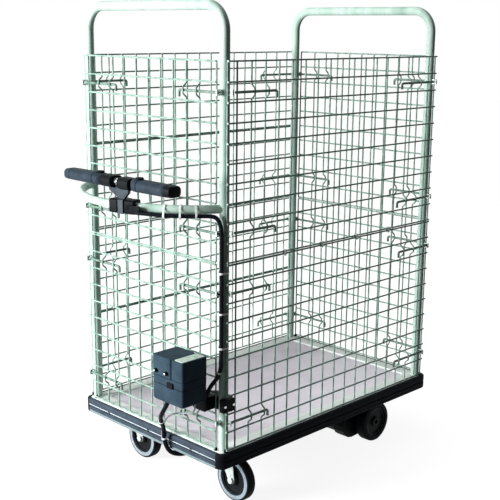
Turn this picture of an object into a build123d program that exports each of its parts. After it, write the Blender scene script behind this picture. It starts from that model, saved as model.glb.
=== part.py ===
"""Power-assisted cage cart: platform on two swivel casters and two motor wheels, weld-mesh sides,
a folding side gate with slide bolts, and a bow handle with sensing grips and a battery box."""

import os
from math import acos, asin, ceil, cos, pi, radians, sin, sqrt, tan

from build123d import *

os.makedirs("parts", exist_ok=True)

# Fits between pieces, in millimetres like every size below
seat_gap = 0.05
run_gap = 0.3
slide_gap = 0.7

# Flats that stand for round forms: wires and bolts, cords, tubes and pins, larger rounds, wheels
wire_sides = 6
cord_sides = 6
tube_sides = 12
round_sides = 16
wheel_sides = 28
corner_flats = 3
bend_step = 15.0
bow_step = 6.0
cord_step = 30.0

# Tube frames of the cage, one across each end, with both legs standing in the rim of the deck
leg_span_x = 854.0
leg_span_y = 548.0
tube_d = 25.4
frame_rise = 1143.0
bend_radius = 62.0

# Platform: a pressed deck with a raised rim that stands out past the legs, heights counted from the floor
leg_margin_x = 22.0
leg_margin_y = 16.0
deck_height = 185.0
deck_corner = 14.0
deck_skirt = 40.0
deck_sheet = 3.0
rim_width = 45.0
rim_step = 4.0
rim_round = 5.0

# Rubber bumper round the deck
bumper_wall = 10.0
bumper_height = 43.0
bumper_drop = 1.0
bumper_edge = 4.0
groove_depth = 3.0
groove_height = 4.0
screw_d = 9.0
screw_head = 2.0
screw_pitch = 180.0

# Channels under the deck
channel_width = 40.0
channel_height = 23.0

# Weld-mesh panels, two high on every wall: the sides lap past the legs, the ends stop short of them
wire_d = 4.5
rail_pitch = 49.9
post_pitch = 50.0
cell_rows = 10
panel_lift = 6.0
panel_split = 6.0
side_lap = 5.5
end_clear = 13.0

# Slide bolts, their guide bulges in the mesh posts and their keepers on the legs
bolt_d = 7.0
bolt_length = 150.0
bolt_throw = 18.0
bolt_draw = 14.0
bolt_cells = 1.5
bulge_flat = 8.0
bulge_foot = 18.0
finger_drop = 17.0
strap = 4.0
keeper_sheet = 3.0

# Rings that hang the gate on the rail below it
ring_width = 6.0
ring_sheet = 2.5
ring_station = 225.0

# Bow handle
bow_height = 831.6
bow_rise = 165.0
bow_d = 22.0

# Sensing grips on their core, off centre toward the near side
handle_y = -61.0
grip_inset = 3.0
grip_lift = 60.0
grip_length = 155.0
grip_depth = 44.0
grip_thick = 30.0
grip_round = 13.0
core_span = 116.0
core_d = 20.0
collar_length = 44.0
tongue_width = 16.0
tongue_thick = 8.0
pin_d = 8.0
pin_cap_d = 22.0
pin_cap = 5.0

# Bracket and clamps that carry the grips on the bow
bracket_width = 78.0
bracket_sheet = 8.0
saddle_length = 16.0
clamp_pitch = 23.0
clamp_length = 26.0
clamp_size = 36.0
clamp_round = 6.0
lever_reach = 37.0
lever_width = 14.0
lever_sheet = 5.0

# Control box on the near rear leg, with its lift-out battery
box_depth = 85.0
box_width = 118.0
box_height = 122.0
box_round = 6.0
box_bottom = 330.0
box_standoff = 47.0
box_side = 11.0
battery_width = 72.0
battery_drop = 107.0
battery_wall = 6.0
battery_peg = 9.0
seam_drop = 54.0
latch_width = 22.0
latch_height = 15.0
latch_sheet = 4.0
plate_margin = 4.0
plate_sheet = 1.5

# Arm that holds the box on the leg, reaching in through one cell of the mesh
arm_width = 38.0
arm_height = 36.0
arm_row = 2
arm_sheet = 6.0
arm_side = 24.0
collar_wall = 12.0
arm_bolt_pitch = 18.0

# Cables
loom_d = 11.0
loom_out = 12.0
loom_under = 14.8
conduit_d = 12.0
signal_d = 5.0
tie_sheet = 1.2
tie_slack = 1.9
tie_width = 5.0
gland_d = 22.0
gland_length = 10.0

# Running gear
wheel_d = 125.0
rim_d = 92.0
hub_rim = 6.0
hub_dish = 5.0
hub_boss_d = 30.0
swivel_x = -340.0
swivel_y = 197.0
caster_trail = 38.0
caster_tread = 30.0
caster_plate_length = 105.0
caster_plate_width = 85.0
caster_sheet = 4.0
caster_bolt_inset = 13.0
race_d = 52.0
fork_sheet = 3.0
fork_gap = 1.5
fork_crown = 4.5
crown_clearance = 7.0
axle_d = 12.0
axle_head = 6.0
hex_d = 11.0
hex_head = 5.0
kingpin_d = 12.0
drive_x = 258.0
drive_y = 238.0
drive_tread = 36.0
drive_sheet = 6.0
drive_plate_width = 110.0
gearbox_d = 84.0
gearbox_length = 42.0
motor_d = 92.0
motor_length = 55.0
motor_lead = 64.0
shaft_d = 18.0

# Places that follow from the sizes
leg_x = leg_span_x / 2
leg_y = leg_span_y / 2
deck_length = leg_span_x + 2 * leg_margin_x
deck_width = leg_span_y + 2 * leg_margin_y
side_panel_width = leg_span_x + 2 * side_lap
end_panel_width = leg_span_y - 2 * end_clear
tube_r = tube_d / 2
wire_r = wire_d / 2
bumper_end = deck_length / 2 + bumper_wall
grip_reach = leg_x + bow_rise - grip_inset
deck_x = (grip_reach + grip_depth / 2 - bumper_end) / 2
skirt_z = deck_height - deck_skirt
sheet_z = deck_height - rim_step - deck_sheet
channel_z = sheet_z - channel_height
frame_z = deck_height + frame_rise
lower_z = deck_height + panel_lift
panel_height = cell_rows * rail_pitch
upper_z = lower_z + panel_height + panel_split
arm_bottom = lower_z + arm_row * rail_pitch + (rail_pitch - arm_height) / 2
post_n = tube_r + run_gap + wire_r
rail_n = post_n + wire_d + seat_gap
bolt_n = post_n + wire_r + run_gap + bolt_d / 2
bulge_n = bolt_n + bolt_d / 2 + run_gap + wire_r
keeper_n = bolt_n + bolt_d / 2 + slide_gap

# Wall planes stand on the line of the leg centres: local x runs along the wall, local -y points outward
near_wall = Plane(origin=(deck_x, -leg_y, 0), x_dir=(1, 0, 0), z_dir=(0, 0, 1))
far_wall = Plane(origin=(deck_x, leg_y, 0), x_dir=(-1, 0, 0), z_dir=(0, 0, 1))
rear_wall = Plane(origin=(deck_x - leg_x, 0, 0), x_dir=(0, -1, 0), z_dir=(0, 0, 1))
front_wall = Plane(origin=(deck_x + leg_x, 0, 0), x_dir=(0, 1, 0), z_dir=(0, 0, 1))


def finish(builder, label):
    """Names a finished piece and writes its file."""
    builder.part.label = label
    export_step(builder.part, f"parts/{label}.step")


def outline(length, width, radius):
    """Corner points of a rounded rectangle, each corner turned in a few flats."""
    points = []
    for quarter, (right, up) in enumerate(((1, 1), (-1, 1), (-1, -1), (1, -1))):
        for step in range(corner_flats + 1):
            angle = pi / 2 * (quarter + step / corner_flats)
            across = right * (length / 2 - radius) + radius * cos(angle)
            along = up * (width / 2 - radius) + radius * sin(angle)
            points.append((across, along))
    return points


def flats_along(route, step):
    """Points along a route whose bends are turned in flats of at most the given angle."""
    points = [route @ 0]
    for edge in route.order_edges():
        flats = 1
        if edge.geom_type == GeomType.CIRCLE:
            flats = ceil(edge.length / edge.radius / radians(step) - 0.01)
        forward = (edge @ 0 - points[-1]).length < (edge @ 1 - points[-1]).length
        for i in range(1, flats + 1):
            points.append(edge @ (i / flats if forward else 1 - i / flats))
    return points


def post_stations(width):
    """Places along a wall of the posts between its two edge posts."""
    count = int((width / 2 - post_pitch / 2) // post_pitch)
    return [post_pitch * i for i in range(-count, count + 1)]


def guide_stations(width, leg_u):
    """The posts that a slide bolt passes behind, on both sides of a wall."""
    tip = leg_u - strap / 2 - bolt_draw
    return [u for u in post_stations(width) if tip - bolt_length + 25 < abs(u) < tip - 50]


def bolt_heights(bottom):
    """Heights of the lower and the upper pair of bolts on a panel."""
    return bottom + bolt_cells * rail_pitch, bottom + panel_height - bolt_cells * rail_pitch


def mesh_panel(label, wall, width, leg_u, bottom, doubled=False, open_row=None):
    """Two layers of welded wires, the rails outside, with guide bulges where bolts run."""
    half = width / 2
    top = bottom + panel_height
    rails = [bottom + i * rail_pitch for i in range(cell_rows + 1)]
    if doubled:
        rails.append(rails[cell_rows // 2] - wire_d - seat_gap)
    guides = guide_stations(width, leg_u)
    edge_spans = [(bottom, top)]
    if open_row is not None:
        edge_spans = [(bottom, rails[open_row]), (rails[open_row + 1], top)]
    with BuildPart() as panel:
        with BuildSketch(wall.offset(bottom)):
            with Locations(*[(u, -post_n) for u in post_stations(width) if u not in guides]):
                RegularPolygon(wire_r, wire_sides, major_radius=False)
        extrude(amount=panel_height)
        for low, high in edge_spans:
            with BuildSketch(wall.offset(low)):
                with Locations((-half, -post_n), (half, -post_n)):
                    RegularPolygon(wire_r, wire_sides, major_radius=False)
            extrude(amount=high - low)
        rail_start = wall.from_local_coords((-half - wire_r, -rail_n, 0))
        with BuildSketch(Plane(origin=rail_start, x_dir=(0, 0, 1), z_dir=wall.x_dir)):
            with Locations(*[(z, 0) for z in rails]):
                RegularPolygon(wire_r, wire_sides, major_radius=False)
        extrude(amount=width + wire_d)
        for u in guides:
            points = [(post_n, bottom)]
            for z in bolt_heights(bottom):
                points.append((post_n, z - bulge_foot))
                points.append((bulge_n, z - bulge_flat))
                points.append((bulge_n, z + bulge_flat))
                points.append((post_n, z + bulge_foot))
            points.append((post_n, top))
            side = Plane(origin=wall.from_local_coords((u, 0, 0)), x_dir=-wall.y_dir, z_dir=-wall.x_dir)
            with BuildLine(side):
                Polyline(*points)
            with BuildSketch(wall.offset(bottom)):
                with Locations((u, -post_n)):
                    RegularPolygon(wire_r, wire_sides, major_radius=False)
            sweep(transition=Transition.RIGHT)
    finish(panel, label)


def slide_bolt(wall, leg_u, side, z, thrown):
    """A round bolt with its inner end bent down for the finger, drawn back or thrown into its keeper."""
    tip = leg_u - strap / 2 - bolt_draw + (bolt_throw if thrown else 0)
    end = tip - bolt_length
    with BuildPart() as bolt:
        rod_end = wall.from_local_coords((side * end, -bolt_n, z))
        with BuildSketch(Plane(origin=rod_end, x_dir=(0, 0, 1), z_dir=wall.x_dir * side)):
            RegularPolygon(bolt_d / 2, wire_sides, major_radius=False)
        extrude(amount=bolt_length)
        finger_foot = wall.from_local_coords((side * (end + bolt_d / 2), -bolt_n, z))
        with BuildSketch(Plane(origin=finger_foot, x_dir=wall.x_dir, z_dir=(0, 0, -1))):
            RegularPolygon(bolt_d / 2, wire_sides, major_radius=False)
        extrude(amount=finger_drop)
    return bolt.part


def bolt_keeper(wall, leg_u, side, z):
    """A bent strap on the leg that the tip of a bolt slides into."""
    inner = bolt_d / 2 + slide_gap
    outer = inner + keeper_sheet
    root = tube_r + seat_gap
    with BuildPart() as keeper:
        middle = wall.from_local_coords((side * leg_u, 0, z))
        with BuildSketch(Plane(origin=middle, x_dir=-wall.y_dir, z_dir=-wall.x_dir)):
            with BuildLine():
                Polyline(
                    (root, -outer),
                    (keeper_n + keeper_sheet, -outer),
                    (keeper_n + keeper_sheet, outer),
                    (root, outer),
                    (root, inner),
                    (keeper_n, inner),
                    (keeper_n, -inner),
                    (root, -inner),
                    close=True,
                )
            make_face()
        extrude(amount=strap / 2, both=True)
    return keeper.part


# Deck: raised rim, shallow tray, skirt, and holes for the legs
with BuildPart() as deck:
    with BuildSketch(Plane(origin=(deck_x, 0, skirt_z))):
        Polygon(*outline(deck_length, deck_width, deck_corner))
    extrude(amount=deck_skirt)
    chamfer(deck.edges().group_by(Axis.Z)[-1], rim_round)
    with BuildSketch(Plane(origin=(deck_x, 0, deck_height))):
        Polygon(*outline(deck_length - 2 * rim_width, deck_width - 2 * rim_width, deck_corner))
    extrude(amount=-rim_step, mode=Mode.SUBTRACT)
    with BuildSketch(Plane(origin=(deck_x, 0, skirt_z))):
        Polygon(*outline(deck_length - 2 * deck_sheet, deck_width - 2 * deck_sheet, deck_corner - deck_sheet))
    extrude(amount=sheet_z - skirt_z, mode=Mode.SUBTRACT)
    with BuildSketch(Plane(origin=(deck_x, 0, deck_height))):
        with GridLocations(leg_span_x, leg_span_y, 2, 2):
            RegularPolygon(tube_r + seat_gap, tube_sides)
    extrude(amount=-(deck_height - sheet_z), mode=Mode.SUBTRACT)
finish(deck, "deck")

# Channels across the underside: one at each pair of legs, one over the casters, one over the motor wheels
channel_stations = [-leg_x, swivel_x, drive_x, leg_x]
channel_span = deck_width - 2 * deck_sheet - 2 * seat_gap
with BuildPart() as deck_channels:
    for x in channel_stations:
        with BuildSketch(Plane(origin=(deck_x + x, 0, channel_z))):
            Rectangle(channel_width, channel_span)
        extrude(amount=channel_height - seat_gap)
        with BuildSketch(Plane(origin=(deck_x + x, 0, channel_z))):
            Rectangle(channel_width - 2 * deck_sheet, channel_span)
        extrude(amount=channel_height - deck_sheet, mode=Mode.SUBTRACT)
    with BuildSketch(Plane(origin=(deck_x, 0, channel_z))):
        Polygon(
            *outline(
                deck_length - 2 * deck_sheet - 2 * seat_gap,
                deck_width - 2 * deck_sheet - 2 * seat_gap,
                deck_corner - deck_sheet - seat_gap,
            )
        )
    extrude(amount=channel_height, mode=Mode.INTERSECT)
    with BuildSketch(Plane(origin=(deck_x, 0, sheet_z))):
        with GridLocations(leg_span_x, leg_span_y, 2, 2):
            RegularPolygon(tube_r + seat_gap, tube_sides)
    extrude(amount=-deck_sheet, mode=Mode.SUBTRACT)
finish(deck_channels, "deck_channels")

# Bumper: a rubber band with a groove round it and screw pockets in both ends
bumper_z = deck_height - bumper_drop - bumper_height
groove_z = bumper_z + bumper_height / 2
with BuildPart() as bumper:
    with BuildSketch(Plane(origin=(deck_x, 0, bumper_z))):
        Polygon(*outline(deck_length + 2 * bumper_wall, deck_width + 2 * bumper_wall, deck_corner + bumper_wall))
    extrude(amount=bumper_height)
    chamfer(bumper.edges().group_by(Axis.Z)[-1], bumper_edge)
    chamfer(bumper.edges().group_by(Axis.Z)[0], bumper_edge)
    with BuildSketch(Plane(origin=(deck_x, 0, bumper_z))):
        Polygon(*outline(deck_length + 2 * seat_gap, deck_width + 2 * seat_gap, deck_corner + seat_gap))
    extrude(amount=bumper_height, mode=Mode.SUBTRACT)
    with BuildSketch(Plane(origin=(deck_x, 0, groove_z - groove_height / 2))):
        Rectangle(deck_length + 4 * bumper_wall, deck_width + 4 * bumper_wall)
        Polygon(
            *outline(
                deck_length + 2 * (bumper_wall - groove_depth),
                deck_width + 2 * (bumper_wall - groove_depth),
                deck_corner + bumper_wall - groove_depth,
            ),
            mode=Mode.SUBTRACT,
        )
    extrude(amount=groove_height, mode=Mode.SUBTRACT)
    for end in (-1, 1):
        with BuildSketch(
            Plane(origin=(deck_x + end * bumper_end, 0, groove_z), x_dir=(0, 1, 0), z_dir=(end, 0, 0))
        ):
            with GridLocations(screw_pitch, 1, 3, 1):
                RegularPolygon(screw_d / 2 + slide_gap, 6)
        extrude(amount=-groove_depth, mode=Mode.SUBTRACT)
finish(bumper, "bumper")

# Screw heads in the pockets of the bumper
with BuildPart() as bumper_screws:
    for end in (-1, 1):
        seat_x = deck_x + end * (bumper_end - groove_depth + seat_gap)
        with BuildSketch(Plane(origin=(seat_x, 0, groove_z), x_dir=(0, 1, 0), z_dir=(end, 0, 0))):
            with GridLocations(screw_pitch, 1, 3, 1):
                RegularPolygon(screw_d / 2, 6)
        extrude(amount=screw_head)
finish(bumper_screws, "bumper_screws")


def tube_frame(label, x):
    """One bent tube across the cart, with both legs standing in the deck."""
    with BuildPart() as frame:
        with BuildLine(mode=Mode.PRIVATE) as route:
            FilletPolyline(
                (x, -leg_y, channel_z),
                (x, -leg_y, frame_z),
                (x, leg_y, frame_z),
                (x, leg_y, channel_z),
                radius=bend_radius,
            )
        with BuildLine():
            Polyline(*flats_along(route.wire(), bend_step))
        with BuildSketch(Plane(origin=(x, -leg_y, channel_z))):
            RegularPolygon(tube_r, tube_sides)
        sweep(transition=Transition.RIGHT)
    finish(frame, label)


tube_frame("rear_frame", deck_x - leg_x)
tube_frame("front_frame", deck_x + leg_x)

# Mesh walls, lower and upper
bow_row = int((bow_height - upper_z) // rail_pitch)
mesh_panel("near_lower_panel", near_wall, side_panel_width, leg_x, lower_z)
mesh_panel("near_gate", near_wall, side_panel_width, leg_x, upper_z)
mesh_panel("far_lower_panel", far_wall, side_panel_width, leg_x, lower_z, doubled=True)
mesh_panel("far_upper_panel", far_wall, side_panel_width, leg_x, upper_z, doubled=True)
mesh_panel("rear_lower_panel", rear_wall, end_panel_width, leg_y, lower_z)
mesh_panel("rear_upper_panel", rear_wall, end_panel_width, leg_y, upper_z, open_row=bow_row)
mesh_panel("front_lower_panel", front_wall, end_panel_width, leg_y, lower_z)
mesh_panel("front_upper_panel", front_wall, end_panel_width, leg_y, upper_z)

# The eight bolts of the near side move one by one: drawn on the gate, thrown on the panel below it
for row, bottom, thrown in (("gate", upper_z, False), ("panel", lower_z, True)):
    for level, z in zip(("low", "high"), bolt_heights(bottom)):
        for hand, side in (("rear", -1), ("front", 1)):
            with BuildPart() as near_bolt:
                add(slide_bolt(near_wall, leg_x, side, z, thrown))
            finish(near_bolt, f"{row}_bolt_{level}_{hand}")

# The other walls stay bolted in place
other_walls = ((far_wall, leg_x), (rear_wall, leg_y), (front_wall, leg_y))
with BuildPart() as wall_bolts:
    for wall, leg_u in other_walls:
        for bottom in (lower_z, upper_z):
            for z in bolt_heights(bottom):
                for side in (-1, 1):
                    add(slide_bolt(wall, leg_u, side, z, True))
finish(wall_bolts, "wall_bolts")

# Keepers on the legs for every bolt
with BuildPart() as bolt_keepers:
    for wall, leg_u in ((near_wall, leg_x),) + other_walls:
        for bottom in (lower_z, upper_z):
            for z in bolt_heights(bottom):
                for side in (-1, 1):
                    add(bolt_keeper(wall, leg_u, side, z))
finish(bolt_keepers, "bolt_keepers")

# Hinge rings: flat loops round the gate's bottom rail and the top rail of the panel below
ring_z = (lower_z + panel_height + upper_z) / 2
ring_bore = wire_d / cos(pi / wire_sides) + 2 * run_gap
with BuildPart() as hinge_rings:
    for u in (-ring_station, -ring_station / 3, ring_station / 3, ring_station):
        middle = near_wall.from_local_coords((u, -rail_n, ring_z))
        with BuildSketch(Plane(origin=middle, x_dir=(0, 0, 1), z_dir=near_wall.x_dir)):
            Rectangle(panel_split + ring_bore + 2 * ring_sheet, ring_bore + 2 * ring_sheet)
            Rectangle(panel_split + ring_bore, ring_bore, mode=Mode.SUBTRACT)
        extrude(amount=ring_width / 2, both=True)
finish(hinge_rings, "hinge_rings")

# Bow handle: one flat arc from leg to leg, coped to the tubes
bow_radius = (leg_y**2 + bow_rise**2) / (2 * bow_rise)
bow_centre_x = deck_x - leg_x - bow_rise + bow_radius


def bow_x(y, inset=0.0):
    """Where the bow runs at a place across the cart, or a line set in from it."""
    return bow_centre_x - sqrt((bow_radius - inset) ** 2 - y**2)


def bow_tube(diameter):
    """The bow's arc as a round bar of a given diameter."""
    with BuildPart() as tube:
        with BuildLine(mode=Mode.PRIVATE) as arc:
            ThreePointArc(
                (deck_x - leg_x, -leg_y, bow_height),
                (deck_x - leg_x - bow_rise, 0, bow_height),
                (deck_x - leg_x, leg_y, bow_height),
            )
        with BuildLine() as chain:
            Polyline(*flats_along(arc.wire(), bow_step))
        with BuildSketch(Plane(origin=chain.line @ 0, x_dir=(0, 0, 1), z_dir=chain.line % 0)):
            RegularPolygon(diameter / 2, tube_sides)
        sweep(transition=Transition.RIGHT)
    return tube.part


with BuildPart() as bow:
    add(bow_tube(bow_d))
    with BuildSketch(Plane(origin=(deck_x - leg_x, 0, bow_height - bow_d))):
        with Locations((0, -leg_y), (0, leg_y)):
            RegularPolygon(tube_r + seat_gap, tube_sides)
    extrude(amount=2 * bow_d, mode=Mode.SUBTRACT)
    bow_ends = bow.solids().sort_by(SortBy.VOLUME)
    for scrap in bow_ends[:-1]:
        add(scrap, mode=Mode.SUBTRACT)
finish(bow, "bow_handle")
bow_space = bow_tube(bow_d + 2 * seat_gap)

# Grip places
grip_x = deck_x - grip_reach
grip_z = bow_height + grip_lift
core_half = core_span / 2


def grip(label, side):
    """A grip with a rounded inner end that turns on a pin round the tongue of its collar."""
    start = handle_y + side * core_half
    pivot = start + side * grip_depth / 2
    with BuildPart() as body:
        with BuildSketch(Plane(origin=(grip_x, start, grip_z), x_dir=(side, 0, 0), z_dir=(0, side, 0))):
            Polygon(*outline(grip_depth, grip_thick, grip_round))
        extrude(amount=grip_length)
        with BuildSketch(Plane(origin=(grip_x, pivot, grip_z - grip_thick))):
            with Locations((0, -side * grip_depth / 2)):
                Rectangle(2 * grip_depth, grip_depth)
            RegularPolygon(grip_depth / 2, round_sides, mode=Mode.SUBTRACT)
        extrude(amount=2 * grip_thick, mode=Mode.SUBTRACT)
        with BuildSketch(Plane(origin=(grip_x, pivot, grip_z))):
            Rectangle(2 * grip_depth, grip_depth + tongue_width)
        extrude(amount=tongue_thick / 2 + run_gap, both=True, mode=Mode.SUBTRACT)
        with BuildSketch(Plane(origin=(grip_x, pivot, grip_z - grip_thick))):
            RegularPolygon(pin_d / 2 + run_gap, tube_sides, major_radius=False)
        extrude(amount=2 * grip_thick, mode=Mode.SUBTRACT)
    finish(body, label)


grip("grip_left", 1)
grip("grip_right", -1)

# Collars with the tongues that the grips turn on
with BuildPart() as grip_collars:
    for side in (-1, 1):
        face = handle_y + side * (core_half - run_gap)
        pivot = handle_y + side * (core_half + grip_depth / 2)
        with BuildSketch(Plane(origin=(grip_x, face, grip_z), x_dir=(side, 0, 0), z_dir=(0, side, 0))):
            Polygon(*outline(grip_depth, grip_thick, grip_round))
        extrude(amount=-collar_length)
        with BuildSketch(Plane(origin=(grip_x, 0, grip_z - tongue_thick / 2))):
            with Locations((0, (face - side * tongue_width / 2 + pivot) / 2)):
                Rectangle(tongue_width, abs(pivot - face) + tongue_width / 2)
            with Locations((0, pivot)):
                RegularPolygon(tongue_width / 2, tube_sides)
                RegularPolygon(pin_d / 2 + seat_gap, tube_sides, mode=Mode.SUBTRACT)
        extrude(amount=tongue_thick)
    with BuildSketch(Plane(origin=(grip_x, handle_y, grip_z), x_dir=(1, 0, 0), z_dir=(0, 1, 0))):
        RegularPolygon(core_d / 2 + seat_gap, tube_sides)
    extrude(amount=core_half - tongue_width, both=True, mode=Mode.SUBTRACT)
finish(grip_collars, "grip_collars")

# Bright bar through both collars
with BuildPart() as handle_core:
    with BuildSketch(Plane(origin=(grip_x, handle_y, grip_z), x_dir=(1, 0, 0), z_dir=(0, 1, 0))):
        RegularPolygon(core_d / 2, tube_sides)
    extrude(amount=core_half - tongue_width - seat_gap, both=True)
finish(handle_core, "handle_core")

# Pivot pins with round caps on top of the grips
with BuildPart() as grip_pins:
    for side in (-1, 1):
        pivot = handle_y + side * (core_half + grip_depth / 2)
        with BuildSketch(Plane(origin=(grip_x, pivot, grip_z - grip_thick / 2))):
            RegularPolygon(pin_d / 2, tube_sides)
        extrude(amount=grip_thick + run_gap)
        with BuildSketch(Plane(origin=(grip_x, pivot, grip_z + grip_thick / 2 + run_gap))):
            RegularPolygon(pin_cap_d / 2, round_sides)
        extrude(amount=pin_cap)
finish(grip_pins, "grip_pins")

def bow_plane(y):
    """A plane across the bow: local x points away from the cart, local y up, local z along the tube."""
    outward = Vector(bow_x(y) - bow_centre_x, y, 0)
    return Plane(origin=(bow_x(y), y, bow_height), x_dir=outward, z_dir=outward.cross(Vector(0, 0, 1)))


# Bracket: a saddle on the bow, a flared plate and a cradle under the bright bar
saddle_y = handle_y - clamp_pitch / 2
with BuildPart() as handle_bracket:
    foot = Plane(origin=(grip_x, saddle_y, bow_height), x_dir=(0, 1, 0), z_dir=(1, 0, 0))
    flare_z = grip_lift - grip_thick / 2 - run_gap
    with BuildSketch(foot):
        with BuildLine():
            Polyline(
                (saddle_length / 2, -clamp_size / 2),
                (saddle_length / 2, clamp_size / 2),
                (bracket_width / 2 + clamp_pitch / 2, flare_z - bracket_sheet),
                (bracket_width / 2 + clamp_pitch / 2, flare_z),
                (clamp_pitch, flare_z),
                (clamp_pitch, grip_lift),
                (0, grip_lift),
                (0, flare_z),
                (clamp_pitch / 2 - bracket_width / 2, flare_z),
                (clamp_pitch / 2 - bracket_width / 2, flare_z - bracket_sheet),
                (-saddle_length / 2, clamp_size / 2),
                (-saddle_length / 2, -clamp_size / 2),
                close=True,
            )
        make_face()
    extrude(amount=bracket_sheet / 2, both=True)
    with BuildSketch(bow_plane(saddle_y)):
        Rectangle(clamp_size, clamp_size)
    extrude(amount=saddle_length / 2, both=True)
    with BuildSketch(Plane(origin=(grip_x, handle_y, grip_z), x_dir=(1, 0, 0), z_dir=(0, 1, 0))):
        RegularPolygon(core_d / 2 + seat_gap, tube_sides)
    extrude(amount=core_half, both=True, mode=Mode.SUBTRACT)
    add(bow_space, mode=Mode.SUBTRACT)
finish(handle_bracket, "handle_bracket")


# Clamp blocks either side of the saddle, with the stub that the lever turns on
lever_y = saddle_y - clamp_pitch
lever_plane = bow_plane(lever_y)
lever_axis = lever_plane.x_dir
with BuildPart() as tube_clamps:
    for y in (saddle_y + clamp_pitch, lever_y):
        with BuildSketch(bow_plane(y)):
            Polygon(*outline(clamp_size, clamp_size, clamp_round))
        extrude(amount=clamp_length / 2, both=True)
    with BuildSketch(Plane(origin=lever_plane.origin, x_dir=(0, 0, 1), z_dir=lever_axis)):
        RegularPolygon(pin_d / 2, tube_sides)
    extrude(amount=clamp_size / 2 + run_gap + lever_sheet)
    add(bow_space, mode=Mode.SUBTRACT)
finish(tube_clamps, "tube_clamps")

# Flat clamp lever on the near block
with BuildPart() as clamp_lever:
    lever_face = lever_plane.origin + lever_axis * (clamp_size / 2 + run_gap)
    toward_near = lever_plane.z_dir if lever_plane.z_dir.Y < 0 else -lever_plane.z_dir
    with BuildSketch(Plane(origin=lever_face, x_dir=toward_near, z_dir=lever_axis)):
        with Locations((0, 0), (lever_reach - lever_width / 2, 0)):
            RegularPolygon(lever_width / 2, tube_sides)
        make_hull()
        RegularPolygon(pin_d / 2 + run_gap, tube_sides, major_radius=False, mode=Mode.SUBTRACT)
    extrude(amount=lever_sheet)
finish(clamp_lever, "clamp_lever")

# Control box: a base and a near column, with a well for the battery
box_back = deck_x - leg_x - box_standoff
box_x = box_back - box_depth / 2
box_y = -leg_y + box_side + box_width / 2
box_top = box_bottom + box_height
battery_y = box_y + box_width / 2 - battery_width / 2
seam_z = box_top - seam_drop
with BuildPart() as control_box:
    with BuildSketch(Plane(origin=(box_x, box_y, box_bottom))):
        Polygon(*outline(box_depth, box_width, box_round))
    extrude(amount=box_height)
    with BuildSketch(Plane(origin=(box_x, battery_y + battery_wall / 2, seam_z))):
        Rectangle(box_depth + 2, battery_width + battery_wall + 2 * run_gap)
    extrude(amount=box_height, mode=Mode.SUBTRACT)
    with BuildSketch(Plane(origin=(box_x, battery_y, box_top - battery_drop - run_gap))):
        Rectangle(
            box_depth - 2 * battery_wall + 2 * run_gap, battery_width - 2 * battery_wall + 2 * run_gap
        )
    extrude(amount=box_height, mode=Mode.SUBTRACT)
finish(control_box, "control_box")

# Battery pack: a lid-wide head over a stem that drops into the well, with two finger pegs
with BuildPart() as battery_pack:
    with BuildSketch(Plane(origin=(box_x, battery_y, seam_z + run_gap))):
        Polygon(*outline(box_depth, battery_width, box_round))
    extrude(amount=seam_drop - run_gap)
    with BuildSketch(Plane(origin=(box_x, battery_y, box_top - battery_drop))):
        Rectangle(box_depth - 2 * battery_wall, battery_width - 2 * battery_wall)
    extrude(amount=battery_drop - seam_drop + 2)
    with BuildSketch(
        Plane(
            origin=(box_x - box_depth / 2, battery_y, seam_z + 2 * battery_peg),
            x_dir=(0, 1, 0),
            z_dir=(-1, 0, 0),
        )
    ):
        with GridLocations(battery_width - 4 * battery_peg, 1, 2, 1):
            RegularPolygon(battery_peg / 2, tube_sides)
    extrude(amount=battery_peg)
finish(battery_pack, "battery_pack")

# Sliding latch across the seam in front
with BuildPart() as battery_latch:
    latch_x = box_x - box_depth / 2 - run_gap
    with BuildSketch(
        Plane(
            origin=(latch_x, battery_y - battery_width / 2, seam_z - latch_height),
            x_dir=(0, 1, 0),
            z_dir=(-1, 0, 0),
        )
    ):
        Polygon(*outline(latch_width, latch_height, latch_sheet / 2))
    extrude(amount=latch_sheet)
finish(battery_latch, "battery_latch")

# Pale indicator plate on top of the near column
column_width = box_width - battery_width - battery_wall
with BuildPart() as indicator_plate:
    with BuildSketch(
        Plane(origin=(box_x, box_y - box_width / 2 + column_width / 2, box_top + seat_gap))
    ):
        Polygon(*outline(box_depth - 2 * plate_margin, column_width - 2 * plate_margin, plate_margin))
    extrude(amount=plate_sheet)
finish(indicator_plate, "indicator_plate")

# Box arm: back plate, arm through one mesh cell and a half collar on the inner side of the leg
arm_y = -leg_y + arm_side + arm_width / 2
arm_inner = deck_x - leg_x + tube_r + collar_wall
leg_keep = tube_r + run_gap * 2
with BuildPart() as box_arm:
    with BuildSketch(Plane(origin=(box_back + seat_gap, arm_y, arm_bottom), x_dir=(0, 1, 0), z_dir=(1, 0, 0))):
        with Locations((0, (arm_height + arm_width / 2) / 2)):
            Polygon(*outline(arm_width + 2 * arm_sheet, arm_height + arm_width / 2, arm_sheet))
    extrude(amount=arm_sheet)
    with BuildSketch(Plane(origin=(0, 0, arm_bottom))):
        with BuildLine():
            Polyline(
                (box_back + arm_sheet, arm_y - arm_width / 2),
                (box_back + arm_sheet, arm_y + arm_width / 2),
                (arm_inner - arm_width / 2, arm_y + arm_width / 2),
                (arm_inner, arm_y),
                (arm_inner, -leg_y - tube_r * 0.7),
                (deck_x - leg_x - tube_r * 0.7, -leg_y - tube_r * 0.7),
                (deck_x - leg_x - tube_r * 0.7, arm_y - arm_width / 2),
                close=True,
            )
        make_face()
    extrude(amount=arm_height)
    with BuildSketch(Plane(origin=(deck_x - leg_x, -leg_y, arm_bottom))):
        RegularPolygon(tube_r + seat_gap, tube_sides)
    extrude(amount=arm_height, mode=Mode.SUBTRACT)
    arm_scraps = box_arm.solids().sort_by(SortBy.VOLUME)
    for scrap in arm_scraps[:-1]:
        add(scrap, mode=Mode.SUBTRACT)
finish(box_arm, "box_arm")


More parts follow.
